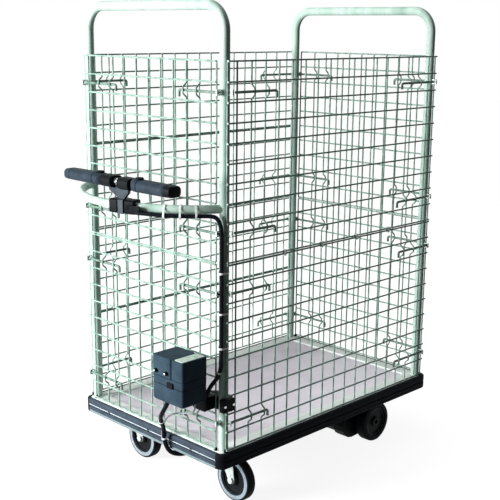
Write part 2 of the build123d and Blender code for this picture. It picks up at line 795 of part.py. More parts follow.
def cord(label, points, diameter):
    """A round cord through chosen points, each corner turned on the widest arc its runs allow."""
    vectors = [Vector(*p) for p in points]
    radii = []
    for before, here, after in zip(vectors, vectors[1:], vectors[2:]):
        shorter = min((here - before).length, (after - here).length)
        cosine = (here - before).normalized().dot((after - here).normalized())
        radii.append(0.45 * shorter / tan(acos(cosine) / 2))
    print(label, "bend radii", [round(r, 1) for r in radii])
    with BuildPart() as body:
        with BuildLine(mode=Mode.PRIVATE) as route:
            FilletPolyline(*vectors, radius=radii)
        print(label, "length", round(route.wire().length))
        with BuildLine() as chain:
            Polyline(*flats_along(route.wire(), cord_step))
        with BuildSketch(Plane(origin=chain.line @ 0, z_dir=chain.line % 0)):
            RegularPolygon(diameter / 2, cord_sides)
        sweep(transition=Transition.RIGHT)
    finish(body, label)


def loom_point(y, rise=0.0):
    """A place on the outer underside of the bow where the loom is tied."""
    outward = bow_plane(y).x_dir * loom_out
    return (bow_x(y) + outward.X, y + outward.Y, bow_height - loom_under + rise)


# Handle loom: out of the near clamp, under the bow, over to the near rear leg and down it to the box arm
bow_ties = (-leg_y + 98, -leg_y + 67, -leg_y + 40)
loom_start = lever_plane.origin + toward_near * (clamp_length / 2 + seat_gap)
loom_start += lever_axis * loom_out - Vector(0, 0, loom_out)
leg_cx = deck_x - leg_x
loom_x = leg_cx - 17.0
loom_y = -leg_y - 8.4
arm_top = arm_bottom + arm_height
cord(
    "handle_loom",
    [
        loom_start,
        loom_start + toward_near * 30,
        loom_point(bow_ties[0]),
        loom_point(bow_ties[1], -0.3),
        loom_point(-leg_y + 28),
        (leg_cx - 27, -leg_y - 2.5, bow_height - 29),
        (leg_cx - 19, -leg_y - 9.5, bow_height - 57),
        (loom_x, loom_y, bow_height - 114),
        (loom_x - 0.4, loom_y - 0.4, bow_height - 220),
        (loom_x, loom_y, bow_height - 324),
        (leg_cx - 19, -leg_y - 9, bow_height - 395),
        (box_back + 12, arm_y - 13, arm_top + 60),
        (box_back + 12.5, arm_y - 12.5, arm_top + run_gap),
    ],
    loom_d,
)

# Conduit from the box round the rim to the motors, and the thin signal lead beside it
gland_x = deck_x + swivel_x - channel_width / 2
gland_z = channel_z + channel_height / 2
conduit_y = -128.0
signal_y = -104.0
conduit_end = gland_x - gland_length - seat_gap
conduit_points = [
    (box_x - 3, box_y + 39, box_bottom - seat_gap),
    (box_x - 3, box_y + 39, box_bottom - 38),
    (box_x + 12, box_y + 74, box_bottom - 82),
    (deck_x - bumper_end - 16, -104, deck_height + 20),
    (deck_x - bumper_end - 13, -96, deck_height - 20),
    (deck_x - bumper_end - 7, -106, bumper_z - 8),
    (deck_x - bumper_end + 26, -122, bumper_z - 17),
    (conduit_end - 30, -126, bumper_z - 8),
    (conduit_end - 12, conduit_y, gland_z),
    (conduit_end, conduit_y, gland_z),
]
cord("power_conduit", conduit_points, conduit_d)
cord(
    "signal_lead",
    [
        (box_x + 17, box_y - 41, box_bottom - seat_gap),
        (box_x + 17, box_y - 41, box_bottom - 32),
        (box_x + 23, box_y + 14, box_bottom - 47),
        (box_x + 27, box_y + 74, box_bottom - 68),
        (deck_x - bumper_end - 13, -90, deck_height + 30),
        (deck_x - bumper_end - 10, -76, deck_height - 17),
        (deck_x - bumper_end - 5, -88, bumper_z - 6),
        (deck_x - bumper_end + 26, -104, bumper_z - 14),
        (conduit_end - 34, -103, bumper_z - 9),
        (conduit_end - 12, signal_y, gland_z),
        (conduit_end, signal_y, gland_z),
    ],
    signal_d,
)

# Glands where both leads enter the channel
with BuildPart() as cable_glands:
    with BuildSketch(Plane(origin=(gland_x - seat_gap, 0, gland_z), x_dir=(0, 1, 0), z_dir=(-1, 0, 0))):
        with Locations((conduit_y, 0), (signal_y, 0)):
            RegularPolygon(gland_d / 2, 6)
    extrude(amount=gland_length - seat_gap)
finish(cable_glands, "cable_glands")



def tie(place, rounds):
    """A flat band drawn round a tube, the loom and whatever else stands between them."""
    with BuildPart() as band:
        with BuildSketch(place):
            for across, along, radius in rounds:
                with Locations((across, along)):
                    RegularPolygon(radius + tie_sheet, tube_sides)
            make_hull()
            with BuildSketch(mode=Mode.PRIVATE) as bore:
                for across, along, radius in rounds:
                    with Locations((across, along)):
                        RegularPolygon(radius, tube_sides)
                make_hull()
            add(bore.sketch, mode=Mode.SUBTRACT)
        extrude(amount=tie_width / 2, both=True)
    return band.part


# White ties: three along the bow, and three down the near rear leg that take in the panel's edge post
loom_room = loom_d / 2 + tie_slack
with BuildPart() as cable_ties:
    for y in bow_ties:
        add(tie(bow_plane(y), [(0, 0, bow_d / 2 + slide_gap), (loom_out, -loom_under, loom_room)]))
    for drop in (162, 268, 360):
        leg_round = (0, 0, tube_r + seat_gap)
        loom_round = (loom_x - leg_cx, loom_y + leg_y, loom_room)
        post_round = (-side_lap, -post_n, wire_r + slide_gap)
        add(tie(Plane(origin=(leg_cx, -leg_y, bow_height - drop)), [leg_round, loom_round, post_round]))
finish(cable_ties, "cable_ties")

# Caster top plates, each with its race under it
wheel_r = wheel_d / 2
plate_z = channel_z - caster_sheet
crown_z = wheel_d + crown_clearance
with BuildPart() as caster_plates:
    for side in (-1, 1):
        with BuildSketch(Plane(origin=(deck_x + swivel_x, side * swivel_y, plate_z))):
            Polygon(*outline(caster_plate_length, caster_plate_width, caster_bolt_inset / 2))
        extrude(amount=caster_sheet - seat_gap)
        with BuildSketch(Plane(origin=(deck_x + swivel_x, side * swivel_y, plate_z))):
            RegularPolygon(race_d / 2, round_sides)
        extrude(amount=-(plate_z - crown_z - fork_crown - run_gap))
        with BuildSketch(Plane(origin=(deck_x + swivel_x, side * swivel_y, plate_z))):
            RegularPolygon(kingpin_d / 2 + run_gap, tube_sides, major_radius=False)
        extrude(amount=-(plate_z - crown_z), mode=Mode.SUBTRACT)
finish(caster_plates, "caster_plates")

# Hexagon bolts: four under each caster plate and two that tighten the collar of the box arm
with BuildPart() as hex_bolts:
    with BuildSketch(
        Plane(
            origin=(arm_inner + seat_gap, -leg_y + tube_r, arm_bottom + arm_height / 2),
            x_dir=(0, 1, 0),
            z_dir=(1, 0, 0),
        )
    ):
        with GridLocations(1, arm_bolt_pitch, 1, 2):
            RegularPolygon(hex_d / 2, 6)
    extrude(amount=hex_head)
    for side in (-1, 1):
        with BuildSketch(Plane(origin=(deck_x + swivel_x, side * swivel_y, plate_z - seat_gap))):
            with GridLocations(
                caster_plate_length - 2 * caster_bolt_inset, caster_plate_width - 2 * caster_bolt_inset, 2, 2
            ):
                RegularPolygon(hex_d / 2, 6)
        extrude(amount=-hex_head)
finish(hex_bolts, "hex_bolts")


def disc_wheel(prefix, centre, direction, tread, bore, shaft=None):
    """A tyre on a dished hub; with a shaft, the hub carries a stub axle toward its motor."""
    middle = Plane(origin=centre, x_dir=(0, 0, 1), z_dir=direction)
    turn = 180 / wheel_sides
    half = tread / 2
    crown = tread / 8
    rim_r = rim_d / 2
    with BuildPart() as tyre:
        with BuildSketch(middle):
            RegularPolygon(wheel_r, wheel_sides, major_radius=False, rotation=turn)
        extrude(amount=half, both=True)
        along = Axis(centre, direction)
        chamfer(tyre.faces().sort_by(along)[0].edges() + tyre.faces().sort_by(along)[-1].edges(), crown)
        with BuildSketch(middle):
            RegularPolygon(rim_r + seat_gap, wheel_sides, major_radius=False, rotation=turn)
        extrude(amount=half, both=True, mode=Mode.SUBTRACT)
    finish(tyre, f"{prefix}_tyre")
    with BuildPart() as hub:
        with BuildSketch(middle):
            RegularPolygon(rim_r, wheel_sides, major_radius=False, rotation=turn)
        extrude(amount=half - crown, both=True)
        for face in (-1, 1):
            with BuildSketch(middle.offset(face * (half - crown))):
                RegularPolygon(rim_r - hub_rim, round_sides, major_radius=False)
                RegularPolygon(hub_boss_d / 2, tube_sides, mode=Mode.SUBTRACT)
            extrude(amount=-face * hub_dish, mode=Mode.SUBTRACT)
        with BuildSketch(middle):
            RegularPolygon(hub_boss_d / 2, tube_sides)
        extrude(amount=half, both=True)
        with BuildSketch(middle):
            RegularPolygon(bore / 2, tube_sides, major_radius=False)
        if shaft is None:
            extrude(amount=half, both=True, mode=Mode.SUBTRACT)
        else:
            extrude(amount=shaft)
    finish(hub, f"{prefix}_hub")


def swivel_caster(prefix, side):
    """Fork, axle and wheel of one caster, trailing toward the near side."""
    pivot_x = deck_x + swivel_x
    pivot_y = side * swivel_y
    wheel_y = pivot_y - caster_trail
    half = caster_tread / 2 + fork_gap
    with BuildPart() as fork:
        with BuildSketch(Plane(origin=(pivot_x, pivot_y, crown_z))):
            RegularPolygon(race_d / 2, round_sides)
            with Locations((0, -race_d / 4)):
                Rectangle(2 * half + 2 * fork_sheet, race_d)
        extrude(amount=fork_crown)
        for cheek in (-1, 1):
            inner_x = pivot_x + cheek * half
            with BuildSketch(Plane(origin=(inner_x, 0, 0), x_dir=(0, 1, 0), z_dir=(1, 0, 0))):
                with Locations((pivot_y - race_d / 4, crown_z + fork_crown / 2)):
                    Rectangle(race_d, fork_crown)
                with Locations((wheel_y, wheel_r)):
                    RegularPolygon(0.95 * axle_d, tube_sides)
                make_hull()
                with Locations((wheel_y, wheel_r)):
                    RegularPolygon(axle_d / 2 + seat_gap, tube_sides, mode=Mode.SUBTRACT)
            extrude(amount=cheek * fork_sheet)
        with BuildSketch(Plane(origin=(pivot_x, pivot_y, crown_z + fork_crown))):
            RegularPolygon(kingpin_d / 2, tube_sides)
        extrude(amount=plate_z - crown_z - fork_crown - run_gap)
    finish(fork, f"{prefix}_fork")
    with BuildPart() as axle:
        centre = (pivot_x, wheel_y, wheel_r)
        across = Plane(origin=centre, x_dir=(0, 1, 0), z_dir=(1, 0, 0))
        with BuildSketch(across):
            RegularPolygon(axle_d / 2, tube_sides)
        extrude(amount=half + fork_sheet + axle_head, both=True)
        for cheek in (-1, 1):
            with BuildSketch(across.offset(cheek * (half + fork_sheet + seat_gap))):
                RegularPolygon(axle_d * 0.8, 6)
            extrude(amount=cheek * axle_head)
    finish(axle, f"{prefix}_axle")
    disc_wheel(prefix, centre, (1, 0, 0), caster_tread, axle_d + 2 * run_gap)


swivel_caster("near_caster", -1)
swivel_caster("far_caster", 1)

# Motor wheels, each with a stub axle into its gearbox
cheek_gap = 3.0
for prefix, side in (("near_drive", -1), ("far_drive", 1)):
    disc_wheel(
        prefix,
        (deck_x + drive_x, side * drive_y, wheel_r),
        (0, -side, 0),
        drive_tread,
        shaft_d,
        shaft=drive_tread / 2 + cheek_gap + drive_sheet + shaft_d / 2,
    )

# Brackets that hang the gearboxes from their channel
bracket_y = drive_y - drive_tread / 2 - cheek_gap
with BuildPart() as drive_brackets:
    for side in (-1, 1):
        with BuildSketch(
            Plane(origin=(deck_x + drive_x, side * bracket_y, 0), x_dir=(1, 0, 0), z_dir=(0, side, 0))
        ):
            with Locations((0, side * -(channel_z - drive_sheet / 2 - seat_gap))):
                Rectangle(drive_plate_width, drive_sheet)
            with Locations((0, side * -wheel_r)):
                RegularPolygon(gearbox_d / 2, round_sides)
            make_hull()
            with Locations((0, side * -wheel_r)):
                RegularPolygon(shaft_d / 2 + slide_gap, tube_sides, major_radius=False, mode=Mode.SUBTRACT)
        extrude(amount=-drive_sheet)
        with BuildSketch(
            Plane(origin=(deck_x + drive_x, side * (bracket_y - gearbox_length), channel_z - seat_gap))
        ):
            with Locations((0, side * gearbox_length / 2)):
                Rectangle(drive_plate_width, gearbox_length)
        extrude(amount=-drive_sheet)
finish(drive_brackets, "drive_brackets")

# Gearmotors: an oval gear case on each bracket and a round motor behind its leading end
box_face = bracket_y - drive_sheet - seat_gap
with BuildPart() as gear_motors:
    for side in (-1, 1):
        case = Plane(origin=(deck_x + drive_x, side * box_face, wheel_r), x_dir=(1, 0, 0), z_dir=(0, side, 0))
        with BuildSketch(case):
            RegularPolygon(gearbox_d / 2, round_sides)
            with Locations((-motor_lead, 0)):
                RegularPolygon(motor_d / 2, round_sides)
            make_hull()
        extrude(amount=-gearbox_length)
        with BuildSketch(case.offset(-gearbox_length)):
            with Locations((-motor_lead, 0)):
                RegularPolygon(motor_d / 2 - drive_sheet, round_sides)
        extrude(amount=-motor_length)
        with BuildSketch(case):
            RegularPolygon(shaft_d / 2 + slide_gap, tube_sides, major_radius=False)
        extrude(amount=-shaft_d, mode=Mode.SUBTRACT)
finish(gear_motors, "gear_motors")
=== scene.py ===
# %% [markdown]
# # A power-assisted cage cart
# A platform on two swivel casters and two motor wheels carries a cage of welded wire mesh. A bow
# handle with two sensing grips steers it, and a box on one leg holds the battery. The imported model
# gives every place and size. This lesson builds the finished surfaces round it, piece by piece.

from math import cos, pi, radians, sin, sqrt

import bmesh
import bpy
from mathutils import Matrix, Vector


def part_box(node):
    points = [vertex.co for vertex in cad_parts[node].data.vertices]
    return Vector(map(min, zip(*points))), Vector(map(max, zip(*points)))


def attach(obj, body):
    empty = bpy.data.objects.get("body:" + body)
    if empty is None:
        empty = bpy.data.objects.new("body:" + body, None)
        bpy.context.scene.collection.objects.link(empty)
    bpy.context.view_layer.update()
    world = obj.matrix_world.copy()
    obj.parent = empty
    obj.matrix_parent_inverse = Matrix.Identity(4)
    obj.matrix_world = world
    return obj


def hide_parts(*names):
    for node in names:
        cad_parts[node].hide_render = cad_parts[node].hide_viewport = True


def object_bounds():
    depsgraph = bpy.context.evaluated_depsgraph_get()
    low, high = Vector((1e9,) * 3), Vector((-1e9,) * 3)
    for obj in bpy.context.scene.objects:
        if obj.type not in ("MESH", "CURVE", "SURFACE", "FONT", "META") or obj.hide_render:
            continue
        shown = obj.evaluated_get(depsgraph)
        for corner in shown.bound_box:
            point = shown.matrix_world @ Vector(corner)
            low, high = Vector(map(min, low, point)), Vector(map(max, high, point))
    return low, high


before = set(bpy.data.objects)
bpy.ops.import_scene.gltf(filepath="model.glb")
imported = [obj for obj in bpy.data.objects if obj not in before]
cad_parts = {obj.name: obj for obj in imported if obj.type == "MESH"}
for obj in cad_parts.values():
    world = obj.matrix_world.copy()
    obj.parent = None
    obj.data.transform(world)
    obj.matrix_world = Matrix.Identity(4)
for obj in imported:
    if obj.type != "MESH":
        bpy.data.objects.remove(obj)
cad_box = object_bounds()
MM = 0.001
X = Vector((1, 0, 0))
Y = Vector((0, 1, 0))
Z = Vector((0, 0, 1))
scene = bpy.context.scene
scene.view_settings.view_transform = "Standard"


def node_box(name):
    """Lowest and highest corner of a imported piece, in millimetres."""
    low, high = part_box(name)
    return low / MM, high / MM


print("CAD box", [round(x, 3) for corner in cad_box for x in corner])

# %% [markdown]
# ## The places that everything hangs on
# A few sizes repeat all over the cart: where the legs stand, how high the deck lies and how thick the
# tubes are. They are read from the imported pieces, so that the surfaces follow the model.

# %% Main places, in millimetres
deck_low, deck_high = node_box("deck")
deck_x = (deck_low.x + deck_high.x) / 2
deck_length = deck_high.x - deck_low.x
deck_width = deck_high.y - deck_low.y
deck_top = deck_high.z
rear_low, rear_high = node_box("rear_frame")
front_low, front_high = node_box("front_frame")
tube_r = (rear_high.x - rear_low.x) / 2
rear_x = (rear_low.x + rear_high.x) / 2
front_x = (front_low.x + front_high.x) / 2
leg_x = (front_x - rear_x) / 2
leg_y = rear_high.y - tube_r
frame_z = rear_high.z - tube_r
leg_foot = rear_low.z
play = 0.3
print("legs at", round(rear_x), round(front_x), "and", round(leg_y), "either side")

# %% [markdown]
# ## Small tools
# Every shape below is one of three kinds: rings of points joined by faces, a guide line that a node
# tree grows into a bar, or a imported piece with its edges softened. The ring tools come first. They
# work in millimetres, and each object stays at the origin with its place in its mesh.

# %% Pieces and their bodies
sharp_angle = radians(35)


def painted(mesh, material):
    """A mesh with its one finish."""
    mesh.materials.clear()
    mesh.materials.append(material)
    return mesh


def add_object(name, data):
    """A new object in the scene."""
    made = bpy.data.objects.new(name, data)
    scene.collection.objects.link(made)
    return made


def piece(name, mesh, material=None):
    """Puts a finished mesh in the scene under its name, smooth apart from its real edges."""
    made = add_object(name, painted(mesh, material) if material else mesh)
    mesh.shade_smooth()
    mesh.set_sharp_from_angle(angle=sharp_angle)
    return made


def fit(made, body, replaces=None):
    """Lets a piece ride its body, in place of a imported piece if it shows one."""
    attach(made, body)
    if replaces:
        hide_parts(replaces)
    return made


def soften(made, width_mm, segments=3):
    """Rounds the edges of a piece, as a mould or a press leaves them."""
    bevel = made.modifiers.new("rounded edges", "BEVEL")
    bevel.width = width_mm * MM
    bevel.segments = segments
    bevel.limit_method = "ANGLE"
    bevel.angle_limit = radians(40)
    bevel.harden_normals = True
    return made


# %% Meshes from rings
def loft(groups, caps=True, loop=False):
    """One mesh from groups of rings of points; each ring joins the next."""
    work = bmesh.new()
    for rings in groups:
        made = [[work.verts.new(Vector(p) * MM) for p in ring] for ring in rings]
        pairs = list(zip(made, made[1:]))
        if loop:
            pairs.append((made[-1], made[0]))
        for ring, after in pairs:
            for i in range(len(ring)):
                j = (i + 1) % len(ring)
                work.faces.new((ring[i], ring[j], after[j], after[i]))
        if caps:
            work.faces.new(made[0])
            work.faces.new(made[-1])
    bmesh.ops.recalc_face_normals(work, faces=work.faces)
    mesh = bpy.data.meshes.new("loft")
    work.to_mesh(mesh)
    work.free()
    return mesh


def rounded(length, width, radius, steps=8):
    """Points of a rectangle with round corners, anticlockwise about its middle."""
    points = []
    for quarter, (right, up) in enumerate(((1, 1), (-1, 1), (-1, -1), (1, -1))):
        for step in range(steps + 1):
            angle = pi / 2 * (quarter + step / steps)
            across = right * (length / 2 - radius) + radius * cos(angle)
            along = up * (width / 2 - radius) + radius * sin(angle)
            points.append((across, along))
    return points


def spread(points, origin, across, along):
    """Flat points set on a plane in space."""
    return [Vector(origin) + across * a + along * b for a, b in points]


def prism(points, origin, across, along, depth):
    """Rings of a flat outline pushed straight through its depth."""
    way = across.cross(along).normalized()
    start = spread(points, origin, across, along)
    return [start, [p + way * depth for p in start]]


def lathe(profile, centre, axis, sides):
    """Rings of a turned shape; the profile gives steps along the axis and radii."""
    axis = axis.normalized()
    across = axis.orthogonal().normalized()
    along = axis.cross(across)
    turn = [2 * pi * i / sides for i in range(sides)]
    return [
        [Vector(centre) + axis * a + (across * cos(t) + along * sin(t)) * r for t in turn]
        for a, r in profile
    ]


# %% [markdown]
# ## Finishes
# Each finish starts from what the real surface is and how it was made. Colours are written as sRGB hex
# values, and one function turns them into the linear numbers that the shader works with. Pattern sizes
# are millimetres of the real surface. A grain finer than about a millimetre can't show from here, so
# it is drawn that coarse. One function serves all: two tones that drift in patches, a fine bump, and
# then roughness, metal and shine.


# %% Colours and shader nodes
def hex_colour(text):
    """An sRGB hex value as linear red, green, blue and alpha."""
    values = [int(text[i : i + 2], 16) / 255 for i in (1, 3, 5)]
    return [v / 12.92 if v <= 0.04045 else ((v + 0.055) / 1.055) ** 2.4 for v in values] + [1]


def add_node(tree, kind, settings=None, inputs=None):
    """Adds one node with its settings; inputs are values or the sockets that feed them."""
    made = tree.nodes.new(kind)
    for name, value in (settings or {}).items():
        setattr(made, name, value)
    for name, value in (inputs or {}).items():
        if isinstance(value, bpy.types.NodeSocket):
            tree.links.new(value, made.inputs[name])
        else:
            made.inputs[name].default_value = value
    return made


def surface(
    name, dark, light, patch_mm, grain_mm, height_mm, rough, metallic=0.0, shine=0.35, stretch=(1, 1, 1)
):
    """A finish whose tone and gloss drift in soft patches and whose grain stands up as fine bump."""
    made = bpy.data.materials.new(name)
    made.use_nodes = True
    tree = made.node_tree
    shader = tree.nodes["Principled BSDF"]
    shader.inputs["Metallic"].default_value = metallic
    shader.inputs["Specular IOR Level"].default_value = shine
    place = add_node(tree, "ShaderNodeTexCoord").outputs["Object"]
    mapped = {"Vector": place, "Scale": stretch}
    drawn = add_node(tree, "ShaderNodeMapping", None, mapped).outputs["Vector"]
    patches = add_node(
        tree, "ShaderNodeTexNoise", None, {"Vector": drawn, "Scale": 1 / (patch_mm * MM), "Detail": 4.0}
    ).outputs["Fac"]
    grain = add_node(
        tree, "ShaderNodeTexNoise", None, {"Vector": drawn, "Scale": 1 / (grain_mm * MM), "Detail": 2.0}
    ).outputs["Fac"]
    tone = add_node(tree, "ShaderNodeValToRGB", None, {"Fac": patches})
    for stop, position, colour in zip(tone.color_ramp.elements, (0.3, 0.7), (dark, light)):
        stop.position = position
        stop.color = hex_colour(colour)
    gloss = add_node(
        tree, "ShaderNodeMapRange", None, {"Value": patches, "To Min": rough[0], "To Max": rough[1]}
    )
    bump = add_node(
        tree, "ShaderNodeBump", None, {"Height": grain, "Distance": height_mm * MM, "Strength": 0.6}
    )
    tree.links.new(tone.outputs["Color"], shader.inputs["Base Color"])
    tree.links.new(gloss.outputs["Result"], shader.inputs["Roughness"])
    tree.links.new(bump.outputs["Normal"], shader.inputs["Normal"])
    return made


# %% Metals
# Zinc plate on drawn wire: pale, a little green, mottled by the plating bath and nearly without shine
zinc_wire = surface("bright_zinc_wire", "#69877a", "#a7c3b7", 22, 1.5, 0.05, (0.34, 0.46), 0.0, 0.05)
# Zinc plate on drawn tube: the same bath, with faint lines along the tube
zinc_tube = surface(
    "bright_zinc_tube", "#9bb7a9", "#cbe2d7", 45, 2.0, 0.03, (0.36, 0.48), 0.0, 0.06, (1, 1, 0.12)
)
# Passivated pins of the slide bolts: a tone under the wire
zinc_pin = surface("passivated_pin", "#536b60", "#80988d", 15, 1.2, 0.05, (0.34, 0.48), 0.1, 0.1)
# Zinc plated pressings: brighter and smoother than the wire
zinc_pressing = surface(
    "zinc_plated_pressing", "#aab6b4", "#d3dbd9", 18, 1.5, 0.03, (0.3, 0.42), 0.15, 0.3
)
# Machined alloy: bright, with fine lines that the tool leaves
bright_alloy = surface(
    "machined_alloy", "#b9c0c0", "#d9dedd", 20, 0.8, 0.02, (0.2, 0.34), 1.0, 0.5, (1, 0.2, 1)
)
# Cast alloy of the handle bracket under a dark coat: a slightly sandy grey
cast_alloy = surface("dark_cast_alloy", "#222a30", "#353f46", 18, 1.4, 0.06, (0.36, 0.5), 0.1, 0.12)

# %% Coats and rubber
# Powder coat of the deck, a lilac white with the fine orange peel that it dries to; the rim is whiter
deck_coat = surface("pale_powder_coat", "#e2dbe6", "#eee8f0", 90, 2.5, 0.06, (0.42, 0.55))
rim_coat = surface("rim_powder_coat", "#e4ece8", "#f2f6f4", 70, 2.5, 0.05, (0.38, 0.5))
# Black machine paint on motors, brackets, channels and screws: deep and flat
black_paint = surface("black_machine_paint", "#0e1012", "#1a1d20", 30, 1.8, 0.05, (0.35, 0.5), 0.0, 0.04)
# Black rubber of the bumper; its end faces are painted lighter as lit faces, paler still along the
# lower strip, with a painted highlight line above the groove
bumper_rubber = surface("bumper_rubber", "#14181b", "#23282d", 40, 1.6, 0.12, (0.42, 0.6), 0.0, 0.02)
bumper_lit_end = surface("bumper_lit_end_rubber", "#323b45", "#434e58", 40, 1.6, 0.12, (0.42, 0.6), 0.0, 0.06)
bumper_lit_lower_strip = surface(
    "bumper_lit_lower_strip_rubber", "#6f8085", "#87999c", 40, 1.6, 0.12, (0.42, 0.6), 0.0, 0.15
)
bumper_painted_highlight = surface("bumper_painted_highlight_line", "#b4c2ca", "#d2dde3", 30, 1.6, 0.08, (0.4, 0.5), 0.0, 0.2)
# Thermoplastic tyres, matt with a dusty bloom, and a black nylon core with a little moulded sheen
grey_tyre = surface("grey_tyre", "#7d8b95", "#97a5ae", 14, 1.2, 0.08, (0.5, 0.66), 0.0, 0.25)
black_tyre = surface("black_tyre", "#101315", "#1c2023", 16, 1.2, 0.1, (0.5, 0.7), 0.0, 0.04)
hub_plastic = surface("black_nylon_core", "#0f1113", "#1a1d20", 12, 1.0, 0.05, (0.38, 0.5), 0.0, 0.06)

# %% Mouldings and cables
# Soft slate overmould of the grips: dull, with a fine leathery grain
grip_slate = surface("slate_overmould", "#222c35", "#303b45", 25, 0.9, 0.09, (0.4, 0.54), 0.0, 0.04)
# Moulded ABS with its spark-eroded grain: black for small parts, slate for the control box
black_abs = surface("black_moulded_abs", "#0d1012", "#181c1f", 30, 1.1, 0.07, (0.36, 0.5), 0.0, 0.03)
slate_abs = surface("slate_moulded_abs", "#2a3944", "#384a57", 45, 1.3, 0.07, (0.36, 0.48), 0.0, 0.02)
# Pale polyester film of the blank plate on the box, smooth, and the clear green acrylic of its lens
plate_film = surface("pale_plate_film", "#bcd0c2", "#d2e2d6", 20, 1.0, 0.01, (0.22, 0.3))
lens_green = surface("lens_acrylic", "#8fd0a4", "#a9e3ba", 6, 0.8, 0.01, (0.12, 0.2), 0.0, 0.5)
# Extruded cable jackets with a dull skin, and white nylon ties
black_jacket = surface("black_cable_jacket", "#0d1015", "#181c24", 20, 1.0, 0.05, (0.34, 0.48), 0.0, 0.04)
grey_jacket = surface("grey_cable_jacket", "#6d7478", "#868d90", 20, 1.0, 0.05, (0.4, 0.55))
white_nylon = surface("white_nylon", "#dfe4e2", "#f0f3f1", 12, 0.8, 0.02, (0.35, 0.45))
print(len(bpy.data.materials), "finishes")

# %% [markdown]
# ## Round bars grown along guide lines
# Wires, tubes and bolts are all round bars that follow a line. A node tree turns the guide's edges
# into curves, rounds their corners to the bend radius of the real bending tool, and sweeps a circle
# along them. One tree serves every bar, because its sizes are inputs.


# %% The bar tree
def open_tree(name, inputs):
    """A node tree with geometry in and out and named inputs for its sizes."""
    tree = bpy.data.node_groups.new(name, "GeometryNodeTree")
    for label, kind in {"Geometry": "NodeSocketGeometry", **inputs}.items():
        tree.interface.new_socket(name=label, in_out="INPUT", socket_type=kind)
    tree.interface.new_socket(name="Geometry", in_out="OUTPUT", socket_type="NodeSocketGeometry")
    return tree, add_node(tree, "NodeGroupInput").outputs


def close_tree(tree, shapes, finish):
    """Ends a tree: its shapes go out as plain faces with their finish."""
    whole = add_node(tree, "GeometryNodeRealizeInstances", None, {"Geometry": shapes})
    dress = {"Geometry": whole.outputs["Geometry"], "Material": finish}
    dressed = add_node(tree, "GeometryNodeSetMaterial", None, dress).outputs["Geometry"]
    add_node(tree, "NodeGroupOutput", None, {"Geometry": dressed})
    return tree


def bar_tree():
    """Edges in, round bars out."""
    tree, given = open_tree(
        "round_bar",
        {
            "Radius": "NodeSocketFloat",
            "Sides": "NodeSocketInt",
            "Bend radius": "NodeSocketFloat",
            "Bend steps": "NodeSocketInt",
            "Finish": "NodeSocketMaterial",
        },
    )
    lines = add_node(tree, "GeometryNodeMeshToCurve", None, {"Mesh": given["Geometry"]}).outputs["Curve"]
    corners = {"Curve": lines, "Count": given["Bend steps"], "Radius": given["Bend radius"]}
    corners["Limit Radius"] = True
    bent = add_node(tree, "GeometryNodeFilletCurve", {"mode": "POLY"}, corners).outputs["Curve"]
    round_section = {"Resolution": given["Sides"], "Radius": given["Radius"]}
    circle = add_node(tree, "GeometryNodeCurvePrimitiveCircle", None, round_section).outputs["Curve"]
    sweep = {"Curve": bent, "Profile Curve": circle, "Fill Caps": True}
    swept = add_node(tree, "GeometryNodeCurveToMesh", None, sweep).outputs["Mesh"]
    return close_tree(tree, swept, given["Finish"])


# %% Bars and joined meshes
def plain_mesh(guide):
    """The mesh that a guide's modifiers or curves make; the guide itself goes."""
    view = bpy.context.evaluated_depsgraph_get()
    mesh = bpy.data.meshes.new_from_object(guide.evaluated_get(view))
    bpy.data.objects.remove(guide)
    return mesh


def grow(tree, points, edges, sizes):
    """Runs a node tree on a guide of points and edges and keeps the mesh it makes."""
    line = bpy.data.meshes.new("guide")
    line.from_pydata([Vector(p) * MM for p in points], edges, [])
    guide = add_object("guide", line)
    nodes = guide.modifiers.new("grow", "NODES")
    nodes.node_group = tree
    for item in tree.interface.items_tree:
        if item.in_out == "INPUT" and item.name in sizes:
            nodes[item.identifier] = sizes[item.name]
    return plain_mesh(guide)


round_bar = bar_tree()


def bars(paths, radius, material, sides, bend, steps=5):
    """Round bars along lists of points, all in one mesh."""
    points, edges = [], []
    for path in paths:
        start = len(points)
        points += path
        edges += [(start + i, start + i + 1) for i in range(len(path) - 1)]
    sizes = {
        "Radius": radius * MM,
        "Sides": sides,
        "Bend radius": bend * MM,
        "Bend steps": steps,
        "Finish": material,
    }
    return grow(round_bar, points, edges, sizes)


def joined(*meshes):
    """Several meshes as one, each keeping its finish."""
    work = bmesh.new()
    finishes = []
    for mesh in meshes:
        first = len(work.faces)
        work.from_mesh(mesh)
        work.faces.ensure_lookup_table()
        material = mesh.materials[0]
        if material not in finishes:
            finishes.append(material)
        for face in work.faces[first:]:
            face.material_index = finishes.index(material)
    whole = bpy.data.meshes.new("joined")
    for material in finishes:
        whole.materials.append(material)
    work.to_mesh(whole)
    work.free()
    return whole


# %% [markdown]
# ## Welded mesh walls
# Every wall has two panels of 4.5 mm wire. Posts stand against the legs and rails are welded across
# them outside. Where a slide bolt passes behind a post, the post is bent outward round it. Each
# crossing carries a small weld, which is what keeps real mesh from looking like two loose layers, so a
# second tree sets one there.

